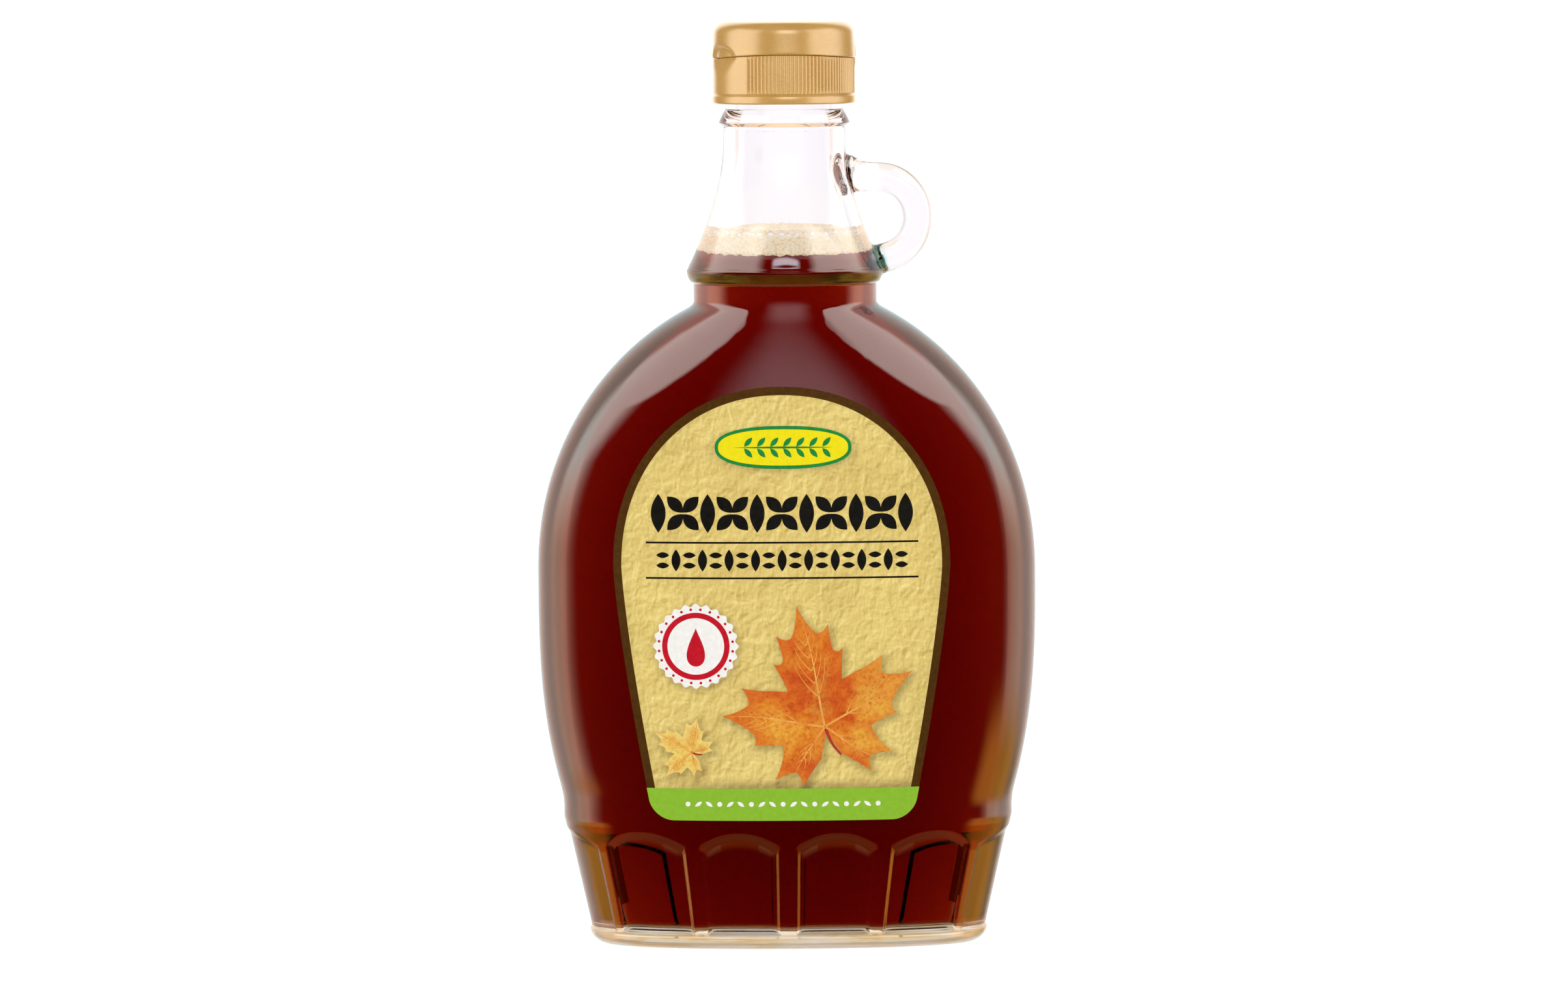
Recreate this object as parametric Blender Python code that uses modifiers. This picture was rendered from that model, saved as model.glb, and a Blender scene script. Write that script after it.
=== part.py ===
"""Flask bottle of syrup with a ring handle, a flip-top screw cap and a front label.

Units: metres, +Z up.  The origin is the centre of the foot on the surface that
the bottle stands on.  The broad face with the label looks along -Y, the width
runs along X and the ring handle is on the +X side.
Lengths below are in millimetres and are scaled by MM when points are made.
"""
import math

import bmesh
import bpy
from mathutils import Vector

MM = 0.001

# ---- driving dimensions, mm -------------------------------------------------
GAP = 0.3                    # free space between neighbouring pieces

# body outline, seen from the front (half widths) and from the side (half depths)
BODY_HALF_WIDTH = 56.1       # at the widest height
WIDEST_Z = 84.0
BODY_HALF_DEPTH = 28.3
FULL_DEPTH_Z = 78.8          # height of the fullest depth
SHOULDER_RISE = 64.9         # from the widest height to the virtual top of the shoulder
SHOULDER_N, SHOULDER_M = 2.07, 1.84
FLANK_K, FLANK_Q = 6.81e-5, 2.88     # how the flank draws in below the widest height
DEPTH_DROP, DEPTH_N = 7.8, 2.4       # how the depth draws in towards the neck
DEPTH_FLANK = 0.53                   # and towards the skirt
SHOULDER_TOP_Z = 143.9
BODY_P, FOOT_P = 2.25, 2.2   # exponents of the oval sections (2 = ellipse)
ROUND_Z = (110.0, 145.0)     # the oval turns into a circle between these heights

# skirt with the flutes, and the foot
SKIRT_TOP_Z = 27.3
SKIRT_TOP_HALF = (50.24, 27.72)
SKIRT_SLOPE = (0.225, 0.215)
SKIRT_SHELF = 0.09           # slope of the short band above the skirt
BEAD_Z, BEAD_H, BEAD_R = 28.8, 1.6, 0.23
HEEL_R = 2.95
BEARING_W = 4.4              # width of the flat ring that the bottle stands on
PUNT = 1.5                   # rise of the underside at its centre

# flutes: arched panels sunk into the skirt, edges given as share of the half width
FLUTE_EDGES = ((0.036, 0.404), (0.463, 0.822))   # two on each side of the middle
SIDE_FLUTE_EDGE = 0.858
FLUTE_Z0 = 3.25
FLUTE_SPRING_Z = 23.3
FLUTE_RISE = 3.45
FLUTE_DEPTH = 0.8
SIDE_FLUTE_DEPTH = 0.55
FLUTE_BEVEL_SIDE = 1.25
FLUTE_BEVEL_TOP = 2.1
FLUTE_BEVEL_FOOT = 0.65

# neck
NECK_FROM_Z = 147.5          # above this height the glass is round
COLLAR_R = 20.6
RING_Z, RING_R, RING_LOWER = 151.6, 22.15, 3.05
WAIST_Z, WAIST_R = 179.5, 13.7
FLARE_K, FLARE_Q = 0.0337, 1.657
TRANSFER_BEAD_Z, TRANSFER_BEAD_R = 184.6, 14.75
BEAD_BELOW, BEAD_ABOVE = 1.05, 2.75
FINISH_R = 13.25
MOUTH_Z = 197.3
BORE_R = 10.4

# walls
WALL = 3.15
BASE_THICK = 4.6
INNER_HEEL_R = 2.2
NECK_IN_R = 17.3
BORE_K, BORE_Q = 0.0345, 1.6

# contents
SYRUP_TOP_Z = 154.8
FOAM_TOP_Z = 160.5

# ring handle
HANDLE_R = 3.25
HANDLE_CENTRE = (21.3, 163.1)
HANDLE_RADIUS = (8.5, 9.05)

# cap
CAP_BOTTOM_Z = 188.8
CAP_BEAD_Z = 190.7
CAP_SEAM_Z = 199.1
CAP_TOP_Z = 207.4
CAP_R = 16.1
CAP_TOP_R = 15.75
CAP_CORNER = 2.75
CAP_BORE_R = 13.75
CAP_DECK = 1.3
THUMB_R = 3.8
CAP_TURN = math.radians(25.5)    # how far the shut cap has come round from square
HINGE_HALF_W, HINGE_REACH, HINGE_PROUD = 4.8, 1.4, 0.65

# label
LABEL_X = -1.1
LABEL_HALF_W = 37.55
LABEL_WIDEST_Z = 86.3
LABEL_TOP_Z = 126.2
LABEL_BOTTOM_Z = 29.6
LABEL_ARCH_N = 2.12
LABEL_TAPER = (0.0471, 1.29)
LABEL_CORNER = 4.6
LABEL_THICK = 0.3


# ---- small helpers -----------------------------------------------------------
def smooth_max(a, b, k):
    h = max(k - abs(a - b), 0.0) / k
    return max(a, b) + h * h * k * 0.25


def smooth_min(a, b, k):
    return -smooth_max(-a, -b, k)


def ease(u):
    u = min(max(u, 0.0), 1.0)
    return u * u * (3.0 - 2.0 * u)


def neck_radius(z):
    """Outer radius of the neck, its ring and the short collar under the ring."""
    if z < RING_Z:
        u = min((RING_Z - z) / RING_LOWER, 1.0)
        r = COLLAR_R + (RING_R - COLLAR_R) * math.sqrt(1.0 - u * u)
    elif z < WAIST_Z:
        r = WAIST_R + FLARE_K * (WAIST_Z - z) ** FLARE_Q
    elif z < TRANSFER_BEAD_Z - BEAD_BELOW:
        r = WAIST_R
    else:
        r = FINISH_R
    d = z - TRANSFER_BEAD_Z
    rise = 1.0 + d / BEAD_BELOW if d < 0.0 else 1.0 - d / BEAD_ABOVE
    if rise > 0.0:
        r = smooth_max(r, FINISH_R + (TRANSFER_BEAD_R - FINISH_R) * rise ** 0.8, 0.2)
    return r


def body_half_width(z):
    if z >= WIDEST_Z:
        u = min((z - WIDEST_Z) / SHOULDER_RISE, 0.999)
        return BODY_HALF_WIDTH * (1.0 - u ** SHOULDER_N) ** (1.0 / SHOULDER_M)
    flank = BODY_HALF_WIDTH - FLANK_K * (WIDEST_Z - z) ** FLANK_Q
    shelf = SKIRT_TOP_HALF[0] + SKIRT_SHELF * (z - SKIRT_TOP_Z - 1.0)
    skirt = SKIRT_TOP_HALF[0] + SKIRT_SLOPE[0] * (z - SKIRT_TOP_Z)
    return smooth_min(smooth_max(flank, shelf, 0.4), skirt, 0.4)


def body_half_depth(z):
    if z >= FULL_DEPTH_Z:
        u = (z - FULL_DEPTH_Z) / (SHOULDER_TOP_Z - FULL_DEPTH_Z)
        return BODY_HALF_DEPTH - DEPTH_DROP * u ** DEPTH_N
    flank = BODY_HALF_DEPTH - DEPTH_FLANK * ((FULL_DEPTH_Z - z) / 47.0) ** 2.5
    skirt = SKIRT_TOP_HALF[1] + SKIRT_SLOPE[1] * (z - SKIRT_TOP_Z)
    return smooth_min(flank, skirt, 0.4)


def outer_section(z):
    """Half width, half depth and exponent of the glass's outside at a height."""
    a, b = body_half_width(z), body_half_depth(z)
    if z > ROUND_Z[0]:
        r = neck_radius(z)
        if z > NECK_FROM_Z:
            a = b = r
        else:
            a, b = smooth_max(a, r, 1.7), smooth_max(b, r, 1.0)
    bead = BEAD_R * math.exp(-((z - BEAD_Z) / BEAD_H) ** 2)
    a, b = a + bead, b + 0.5 * bead
    if z < HEEL_R:
        inset = HEEL_R - math.sqrt(HEEL_R ** 2 - (HEEL_R - z) ** 2)
        a, b = a - inset, b - inset
    p = FOOT_P + (BODY_P - FOOT_P) * min(max((z - 10.0) / 25.0, 0.0), 1.0)
    p += (2.0 - p) * ease((z - ROUND_Z[0]) / (ROUND_Z[1] - ROUND_Z[0]))
    return a, b, p


def inner_section(z):
    """The smooth cavity: the outside without its relief, less the wall."""
    a, b = body_half_width(z) - WALL, body_half_depth(z) - WALL
    if z > ROUND_Z[0]:
        r = smooth_min(BORE_R + BORE_K * max(WAIST_Z - z, 0.0) ** BORE_Q, NECK_IN_R, 0.8)
        if z > NECK_FROM_Z:
            a = b = r
        else:
            a, b = smooth_max(a, r, 2.6), smooth_max(b - 0.2, r, 1.7)
    h = z - BASE_THICK
    if h < INNER_HEEL_R:
        inset = INNER_HEEL_R - math.sqrt(INNER_HEEL_R ** 2 - (INNER_HEEL_R - h) ** 2)
        a, b = a - inset, b - inset
    p = BODY_P + (2.0 - BODY_P) * ease((z - ROUND_Z[0]) / (ROUND_Z[1] - ROUND_Z[0]))
    return a, b, p


def section_point(a, b, p, t):
    c, s = math.cos(t), math.sin(t)
    k = (abs(c) ** p + abs(s) ** p) ** (-1.0 / p)
    return a * c * k, b * s * k


def outer_point(t, z, push=0.0):
    """Point on the glass's outside, moved along the wall's normal by push."""
    def at(tt, zz):
        a, b, p = outer_section(zz)
        x, y = section_point(a, b, p, tt)
        return Vector((x, y, zz))
    here = at(t, z)
    if not push:
        return here
    along = at(t + 0.01, z) - at(t - 0.01, z)
    up = at(t, z + 0.2) - at(t, z - 0.2)
    return here + along.cross(up).normalized() * push


def front_y(x, z):
    """Depth of the broad front face at a place across it."""
    a, b, p = outer_section(z)
    u = min(abs(x) / a, 0.999)
    return -b * (1.0 - u ** p) ** (1.0 / p)


# ---- scene and materials -----------------------------------------------------
for item in list(bpy.data.objects):
    bpy.data.objects.remove(item, do_unlink=True)

parts = bpy.data.collections.new("syrup_bottle")
cutters = bpy.data.collections.new("cutters")
for group in (parts, cutters):
    bpy.context.scene.collection.children.link(group)

body_empty = bpy.data.objects.new("bottle_frame", None)
parts.objects.link(body_empty)


def material(name, colour, roughness, metallic=0.0, transmission=0.0, ior=1.5):
    mat = bpy.data.materials.new(name)
    mat.use_nodes = True
    shader = mat.node_tree.nodes["Principled BSDF"]
    shader.inputs["Base Color"].default_value = (*colour, 1.0)
    shader.inputs["Roughness"].default_value = roughness
    shader.inputs["Metallic"].default_value = metallic
    shader.inputs["Transmission Weight"].default_value = transmission
    shader.inputs["IOR"].default_value = ior
    mat.diffuse_color = (*colour, 1.0)
    return mat


glass = material("clear_glass", (0.93, 0.97, 0.96), 0.02, transmission=1.0, ior=1.52)
syrup_mat = material("dark_syrup", (0.13, 0.012, 0.003), 0.03, transmission=0.6, ior=1.48)
foam_mat = material("syrup_foam", (0.84, 0.72, 0.50), 0.55)
gold = material("gold_plastic", (0.66, 0.43, 0.17), 0.32, metallic=0.55)
gold_lid = material("gold_plastic_lid", (0.69, 0.46, 0.19), 0.30, metallic=0.55)
paper = material("label_paper", (0.64, 0.50, 0.22), 0.62)


def add_object(name, mesh, mat, group=parts, smooth_angle=32.0):
    obj = bpy.data.objects.new(name, mesh)
    group.objects.link(obj)
    if mat is not None:
        mesh.materials.append(mat)
    if group is cutters:
        obj.hide_render = True
        obj.display_type = "WIRE"
    else:
        obj.parent = body_empty
        mesh.shade_smooth()
        mesh.set_sharp_from_angle(angle=math.radians(smooth_angle))
    return obj


def mesh_from(name, bm):
    bmesh.ops.recalc_face_normals(bm, faces=bm.faces)
    mesh = bpy.data.meshes.new(name)
    bm.to_mesh(mesh)
    bm.free()
    return mesh


def ring_at(section, z, ts, grow=0.0):
    """One section as (t, point) pairs, set out or in by grow."""
    a, b, p = section(z)
    return [(t, Vector((*section_point(a + grow, b + grow, p, t), z))) for t in ts]


def pole(z):
    return [(0.0, Vector((0.0, 0.0, z)))]


def loft(bm, rings):
    """Skin a chain of rings; rings of unlike counts are zipped by their angles."""
    layers = [[(t, bm.verts.new(co * MM)) for t, co in ring] for ring in rings]
    for low, high in zip(layers, layers[1:]):
        n, m = len(low), len(high)
        if n == m:
            for i in range(n):
                j = (i + 1) % n
                bm.faces.new((low[i][1], low[j][1], high[j][1], high[i][1]))
            continue
        i = j = 0
        while i < n or j < m:
            if n == 1:
                step_low = False
            elif m == 1:
                step_low = True
            else:
                next_low = low[i + 1][0] if i + 1 < n else 2.0 * math.pi
                next_high = high[j + 1][0] if j + 1 < m else 2.0 * math.pi
                step_low = i < n and (j >= m or next_low <= next_high)
            if step_low:
                bm.faces.new((low[i % n][1], low[(i + 1) % n][1], high[j % m][1]))
                i += 1
                if m == 1 and i == n:
                    break
            else:
                bm.faces.new((low[i % n][1], high[(j + 1) % m][1], high[j % m][1]))
                j += 1
                if n == 1 and j == m:
                    break


def steps(z0, z1, n):
    """n even heights from z0 up to z1, the last left out."""
    return [z0 + (z1 - z0) * i / n for i in range(n)]


def even_angles(count):
    return [2.0 * math.pi * i / count for i in range(count)]


# ---- bottle: one piece of glass ----------------------------------------------
OUTSIDE = even_angles(40)
INSIDE = even_angles(40)


def t_at_share(share, p):
    """Angle in the first quadrant where x is this share of the half width."""
    return math.atan((share ** -p - 1.0) ** (1.0 / p))


def flute_columns():
    """Columns of the skirt: (t, place across its flute or None, depth there)."""
    z_mid = 0.5 * (FLUTE_Z0 + FLUTE_SPRING_Z)

    def bevel(t):
        speed = (outer_point(t + 0.01, z_mid) - outer_point(t - 0.01, z_mid)).length / 0.02
        return FLUTE_BEVEL_SIDE / speed

    edge = t_at_share(SIDE_FLUTE_EDGE, FOOT_P)
    lip = edge - bevel(edge)
    quarter = [(0.0, 0.0, SIDE_FLUTE_DEPTH), (lip * 0.36, lip * 0.36 / edge, SIDE_FLUTE_DEPTH),
               (lip * 0.7, lip * 0.7 / edge, SIDE_FLUTE_DEPTH), (lip, lip / edge, SIDE_FLUTE_DEPTH),
               (edge, 1.0, 0.0)]
    for lo, hi in reversed(FLUTE_EDGES):
        t0, t1 = t_at_share(hi, FOOT_P), t_at_share(lo, FOOT_P)
        mid, half = 0.5 * (t0 + t1), 0.5 * (t1 - t0)
        l0, l1 = t0 + bevel(t0), t1 - bevel(t1)
        quarter.append((t0, -1.0, 0.0))
        for k in range(5):
            t = l0 + (l1 - l0) * k / 4.0
            quarter.append((t, (t - mid) / half, FLUTE_DEPTH))
        quarter.append((t1, 1.0, 0.0))
    quarter.append((0.5 * math.pi, None, 0.0))
    columns = list(quarter)
    columns += [(math.pi - t, s, d) for t, s, d in reversed(quarter[:-1])]
    columns += [(math.pi + t, s, d) for t, s, d in quarter[1:]]
    columns += [(2.0 * math.pi - t, s, d) for t, s, d in reversed(quarter[1:-1])]
    return columns


COLUMNS = flute_columns()
SKIRT = [t for t, _, _ in COLUMNS]


def flute_row(height, sunk):
    """A row of the skirt; height(place across the flute) gives its z."""
    row = []
    for t, s, depth in COLUMNS:
        z = height(1.0 if s is None else abs(s))
        row.append((t, outer_point(t, z, -depth if sunk and depth else 0.0)))
    return row


def arch(s):
    return 1.0 - s ** 2.3


contact_a, contact_b, contact_p = outer_section(0.0)


def underside(inset, z):
    return [(t, Vector((*section_point(contact_a - inset, contact_b - inset, contact_p, t), z)))
            for t in OUTSIDE]


rings = [pole(PUNT), underside(contact_b * 0.6, PUNT * 0.9), underside(BEARING_W + 1.7, 0.5),
         underside(BEARING_W, 0.0)]
for z in (0.0, 0.37, 1.15, HEEL_R):
    rings.append(ring_at(outer_section, z, SKIRT))
rings.append(flute_row(lambda s: FLUTE_Z0, False))
rings.append(flute_row(lambda s: FLUTE_Z0 + FLUTE_BEVEL_FOOT, True))
rings.append(flute_row(lambda s: 0.5 * (FLUTE_Z0 + FLUTE_SPRING_Z), True))
rings.append(flute_row(lambda s: FLUTE_SPRING_Z - 0.6 + (FLUTE_RISE + 0.6 - FLUTE_BEVEL_TOP) * arch(s),
                       True))
rings.append(flute_row(lambda s: FLUTE_SPRING_Z + FLUTE_RISE * arch(s), False))
outer_heights = [SKIRT_TOP_Z + 0.7, 30.0, 33.0] + steps(40.0, 139.0, 10)
outer_heights += [139.0, 142.0, 143.7, 145.6, 148.5, 149.2, 150.4, RING_Z, 154.0]
outer_heights += [158.0, 163.0, 168.5, 174.0, WAIST_Z, 183.55, TRANSFER_BEAD_Z, 185.7, 187.4]
outer_heights += [MOUTH_Z - 0.4]
for z in outer_heights:
    rings.append(ring_at(outer_section, z, OUTSIDE))
for r, angles in ((FINISH_R - 0.4, OUTSIDE), (BORE_R + 0.4, INSIDE)):
    rings.append([(t, Vector((r * math.cos(t), r * math.sin(t), MOUTH_Z))) for t in angles])
filled_heights = [SYRUP_TOP_Z, 148.0, 145.0, 142.0, 138.5, 131.0, 120.0, 107.0,
                  84.0, 52.0, 29.5, 7.9, 6.1, 5.2, 4.75]
inner_heights = [MOUTH_Z - 0.4, 180.5, 170.0, FOAM_TOP_Z, 157.5] + filled_heights
for z in inner_heights:
    rings.append(ring_at(inner_section, z, INSIDE))
low_a, low_b, low_p = inner_section(filled_heights[-1])
rings.append([(t, Vector((*section_point(low_a * 0.6, low_b * 0.6, low_p, t), BASE_THICK + 0.35)))
              for t in INSIDE])
rings.append(pole(BASE_THICK + 0.6))

bm = bmesh.new()
loft(bm, rings)
bottle = add_object("bottle", mesh_from("bottle", bm), glass, smooth_angle=38.0)


# ring handle: a swept rod whose ends widen into the neck wall
def handle_path():
    """Points (x, z, radius) from the upper root, round the ring, to the lower root."""
    cx, cz = HANDLE_CENTRE
    rx, rz = HANDLE_RADIUS
    points = [(13.0, cz + rz + 0.75, HANDLE_R * 1.45), (15.1, cz + rz + 0.45, HANDLE_R * 1.25),
              (17.4, cz + rz + 0.15, HANDLE_R * 1.05)]
    n = 11
    for i in range(n + 1):
        ang = math.radians(88.0 - (88.0 + 72.0) * i / n)
        points.append((cx + rx * math.cos(ang), cz + rz * math.sin(ang), HANDLE_R))
    points.append((21.4, cz - rz - 0.4, HANDLE_R * 1.03))
    points.append((18.9, cz - rz - 0.75, HANDLE_R * 1.08))
    return points


curve = bpy.data.curves.new("handle_path", "CURVE")
curve.dimensions = "3D"
curve.bevel_depth = MM
curve.bevel_resolution = 3
curve.use_fill_caps = True
curve.twist_mode = "MINIMUM"
path = handle_path()
spline = curve.splines.new("POLY")
spline.points.add(len(path) - 1)
for point, (x, z, r) in zip(spline.points, path):
    point.co = (x * MM, 0.0, z * MM, 1.0)
    point.radius = r
rod = bpy.data.objects.new("handle_rod", curve)
cutters.objects.link(rod)
bpy.context.view_layer.update()
depsgraph = bpy.context.evaluated_depsgraph_get()
rod_mesh = bpy.data.meshes.new_from_object(rod.evaluated_get(depsgraph))
bm = bmesh.new()
bm.from_mesh(rod_mesh)
bmesh.ops.remove_doubles(bm, verts=bm.verts, dist=0.00001)
bmesh.ops.recalc_face_normals(bm, faces=bm.faces)
bm.to_mesh(rod_mesh)
bm.free()
handle = bpy.data.objects.new("handle", rod_mesh)
handle.matrix_world = rod.matrix_world
cutters.objects.link(handle)
handle.hide_render = True
handle.display_type = "WIRE"
bpy.data.objects.remove(rod, do_unlink=True)

join = bottle.modifiers.new("handle", "BOOLEAN")
join.operation = "UNION"
join.object = handle

# ---- contents -----------------------------------------------------------------
def contents(name, mat, heights, floor_z, top_z):
    rings = [pole(heights[0] if floor_z is None else floor_z)]
    for z in heights:
        rings.append(ring_at(inner_section, z, INSIDE, grow=-GAP))
    rings.append(pole(top_z))
    bm = bmesh.new()
    loft(bm, rings)
    return add_object(name, mesh_from(name, bm), mat)


wet_heights = [5.6, 6.1] + filled_heights[-4::-1]
contents("syrup", syrup_mat, wet_heights, BASE_THICK + 1.0, SYRUP_TOP_Z)
contents("foam", foam_mat, [SYRUP_TOP_Z + GAP, 157.5, FOAM_TOP_Z], None, FOAM_TOP_Z)


# ---- cap ----------------------------------------------------------------------
def turned(name, profile, mat, count=36, group=parts):
    """Profile of (radius, z) from the outside top, down and round, turned about Z."""
    mesh = bpy.data.meshes.new(name)
    bm = bmesh.new()
    verts = [bm.verts.new((r * MM, 0.0, z * MM)) for r, z in profile]
    for v0, v1 in zip(verts, verts[1:]):
        bm.edges.new((v0, v1))
    if profile[0][0] > 0.0:
        bm.edges.new((verts[-1], verts[0]))
    bm.to_mesh(mesh)
    bm.free()
    obj = add_object(name, mesh, mat, group)
    screw = obj.modifiers.new("turn", "SCREW")
    screw.axis = "Z"
    screw.angle = 2.0 * math.pi
    screw.steps = screw.render_steps = count
    screw.use_merge_vertices = True
    screw.merge_threshold = 0.00001
    screw.use_smooth_shade = True
    return obj


deck_top = CAP_SEAM_Z - GAP * 0.5
collar = turned("cap_collar", [
    (0.0, deck_top), (CAP_R - 0.55, deck_top), (CAP_R - 0.25, deck_top - 0.3),
    (CAP_R - 0.2, CAP_BEAD_Z + 0.25), (CAP_R - 0.35, CAP_BEAD_Z), (CAP_R, CAP_BEAD_Z - 0.25),
    (CAP_R + 0.02, CAP_BOTTOM_Z + 0.6), (CAP_R - 0.3, CAP_BOTTOM_Z),
    (CAP_BORE_R + 0.3, CAP_BOTTOM_Z), (CAP_BORE_R, CAP_BOTTOM_Z + 0.3),
    (CAP_BORE_R, deck_top - CAP_DECK), (0.0, deck_top - CAP_DECK)], gold)

lid_bottom = CAP_SEAM_Z + GAP * 0.5
lid_profile = [(0.0, CAP_TOP_Z), (CAP_TOP_R * 0.6, CAP_TOP_Z - 0.12)]
for i in range(6):
    ang = math.radians(82.0 - 82.0 * i / 5)
    lid_profile.append((CAP_TOP_R - CAP_CORNER * 1.25 * (1.0 - math.cos(ang)),
                        CAP_TOP_Z - 0.3 - CAP_CORNER * (1.0 - math.sin(ang))))
lid_profile += [(CAP_R - 0.12, lid_bottom + 0.35), (CAP_R - 0.4, lid_bottom), (0.0, lid_bottom)]
lid = turned("cap_lid", lid_profile, gold_lid)

def place_on_cap(obj, reach, z):
    """Set an object at this reach along the cap's own +X, which is turned by CAP_TURN."""
    obj.rotation_euler.z = CAP_TURN
    obj.location = (reach * math.cos(CAP_TURN) * MM, reach * math.sin(CAP_TURN) * MM, z * MM)


# thumb recess on the cap's -X side: an oblate ball bites into both pieces across the seam
bm = bmesh.new()
bmesh.ops.create_uvsphere(bm, u_segments=16, v_segments=10, radius=THUMB_R * MM)
thumb = add_object("thumb_cutter", mesh_from("thumb_cutter", bm), None, cutters)
for vert in thumb.data.vertices:
    vert.co.x *= 0.35
place_on_cap(thumb, -(CAP_R + 0.25), CAP_SEAM_Z - 0.1)
for piece in (collar, lid):
    bite = piece.modifiers.new("thumb", "BOOLEAN")
    bite.operation = "DIFFERENCE"
    bite.object = thumb


def hinge_block(name, z0, z1, share0, share1):
    """Half of the hinge swelling on the cap's +X side: a squashed cone from z0 up to z1."""
    bm = bmesh.new()
    bmesh.ops.create_cone(bm, cap_ends=True, segments=16, radius1=HINGE_HALF_W * share0 * MM,
                          radius2=HINGE_HALF_W * share1 * MM, depth=(z1 - z0) * MM)
    block = add_object(name, mesh_from(name, bm), None, cutters)
    for vert in block.data.vertices:
        vert.co.x *= HINGE_REACH / HINGE_HALF_W
    place_on_cap(block, CAP_R + HINGE_PROUD - HINGE_REACH, 0.5 * (z0 + z1))
    return block


hinge_low = hinge_block("hinge_lower", CAP_SEAM_Z - 4.2, deck_top - 0.02, 0.78, 1.0)
hinge_high = hinge_block("hinge_upper", lid_bottom + 0.02, CAP_SEAM_Z + 4.2, 1.0, 0.74)
for piece, block in ((collar, hinge_low), (lid, hinge_high)):
    weld = piece.modifiers.new("hinge", "BOOLEAN")
    weld.operation = "UNION"
    weld.object = block


# ---- label --------------------------------------------------------------------
def label_half_width(z):
    if z >= LABEL_WIDEST_Z:
        u = min((z - LABEL_WIDEST_Z) / (LABEL_TOP_Z - LABEL_WIDEST_Z), 1.0)
        return LABEL_HALF_W * (1.0 - u ** LABEL_ARCH_N) ** (1.0 / LABEL_ARCH_N)
    return LABEL_HALF_W - LABEL_TAPER[0] * (LABEL_WIDEST_Z - z) ** LABEL_TAPER[1]


def label_outline(z):
    w = label_half_width(z)
    h = z - LABEL_BOTTOM_Z
    if h < LABEL_CORNER:
        w -= LABEL_CORNER - math.sqrt(LABEL_CORNER ** 2 - (LABEL_CORNER - h) ** 2)
    return w


def face_normal(x, z):
    """Outward normal of the broad front face, from its slopes."""
    dx = (front_y(x + 0.2, z) - front_y(x - 0.2, z)) / 0.4
    dz = (front_y(x, z + 0.2) - front_y(x, z - 0.2)) / 0.4
    return Vector((dx, -1.0, dz)).normalized()


# a flat grid laid on the face row by row, then given its thickness
label_rows = [LABEL_BOTTOM_Z, 30.5, 32.1, 34.2, 50.0, 69.0, LABEL_WIDEST_Z, 98.5, 108.0,
              115.5, 120.7, 124.3, 126.0]
bm = bmesh.new()
bmesh.ops.create_grid(bm, x_segments=12, y_segments=len(label_rows) - 1, size=1.0)
for vert in bm.verts:
    z = label_rows[round((vert.co.y + 1.0) * 0.5 * (len(label_rows) - 1))]
    x = LABEL_X + vert.co.x * label_outline(z)
    vert.co = (Vector((x, front_y(x, z), z)) + face_normal(x, z) * GAP) * MM
label_mesh = bpy.data.meshes.new("label")
bm.to_mesh(label_mesh)
bm.free()
label = add_object("label", label_mesh, paper)
thick = label.modifiers.new("paper", "SOLIDIFY")
thick.thickness = LABEL_THICK * MM
thick.offset = 1.0
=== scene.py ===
"""Looks of a flask of dark syrup: clear glass with a ring handle, foam, gold flip-top cap, paper label.

Everything is in metres in the part's own frame: the label looks along -Y, the ring handle is at +X.
Lengths in the constants below are in millimetres and are scaled by MM when points are made.
"""

import math
import random

import bmesh
import bpy
import numpy as np
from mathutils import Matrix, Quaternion, Vector
from mathutils.geometry import delaunay_2d_cdt


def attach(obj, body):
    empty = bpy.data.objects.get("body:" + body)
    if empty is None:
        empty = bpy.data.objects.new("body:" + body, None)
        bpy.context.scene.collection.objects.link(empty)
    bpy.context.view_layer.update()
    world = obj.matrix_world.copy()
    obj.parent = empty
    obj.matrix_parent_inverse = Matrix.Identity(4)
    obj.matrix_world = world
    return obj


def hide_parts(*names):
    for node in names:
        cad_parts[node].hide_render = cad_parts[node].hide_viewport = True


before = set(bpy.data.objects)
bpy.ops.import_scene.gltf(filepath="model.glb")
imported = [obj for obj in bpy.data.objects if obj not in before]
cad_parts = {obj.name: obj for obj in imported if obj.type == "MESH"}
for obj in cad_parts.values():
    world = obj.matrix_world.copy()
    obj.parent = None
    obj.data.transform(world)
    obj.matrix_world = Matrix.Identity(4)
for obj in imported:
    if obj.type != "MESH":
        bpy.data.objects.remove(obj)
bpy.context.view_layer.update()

MM = 0.001
PI = math.pi
# painted light in the glass: these tints, set by height and place, stand for the surroundings and the syrup's light
# seen through and mirrored in the clear glass
NECK_PAINTED_TINT, BODY_PAINTED_TINT, LOW_PAINTED_TINT = (0.947, 0.935, 0.948), (0.67, 0.755, 0.74), (0.56, 0.68, 0.62)
RING_PAINTED_TINT = (0.44, 0.72, 0.7)
HANDLE_PAINTED_TINT, HANDLE_PAINTED_WARMTH, ROOT_PAINTED_GREEN = (0.88, 0.86, 0.884), (0.77, 0.68, 0.53), (0.22, 0.46, 0.33)
SKIRT_PAINTED_GLOW, FOOT_PAINTED_TINT, FOOT_PAINTED_STREAK = (0.96, 0.86, 0.46), (0.96, 0.82, 0.56), (0.88, 0.62, 0.27)

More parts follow.
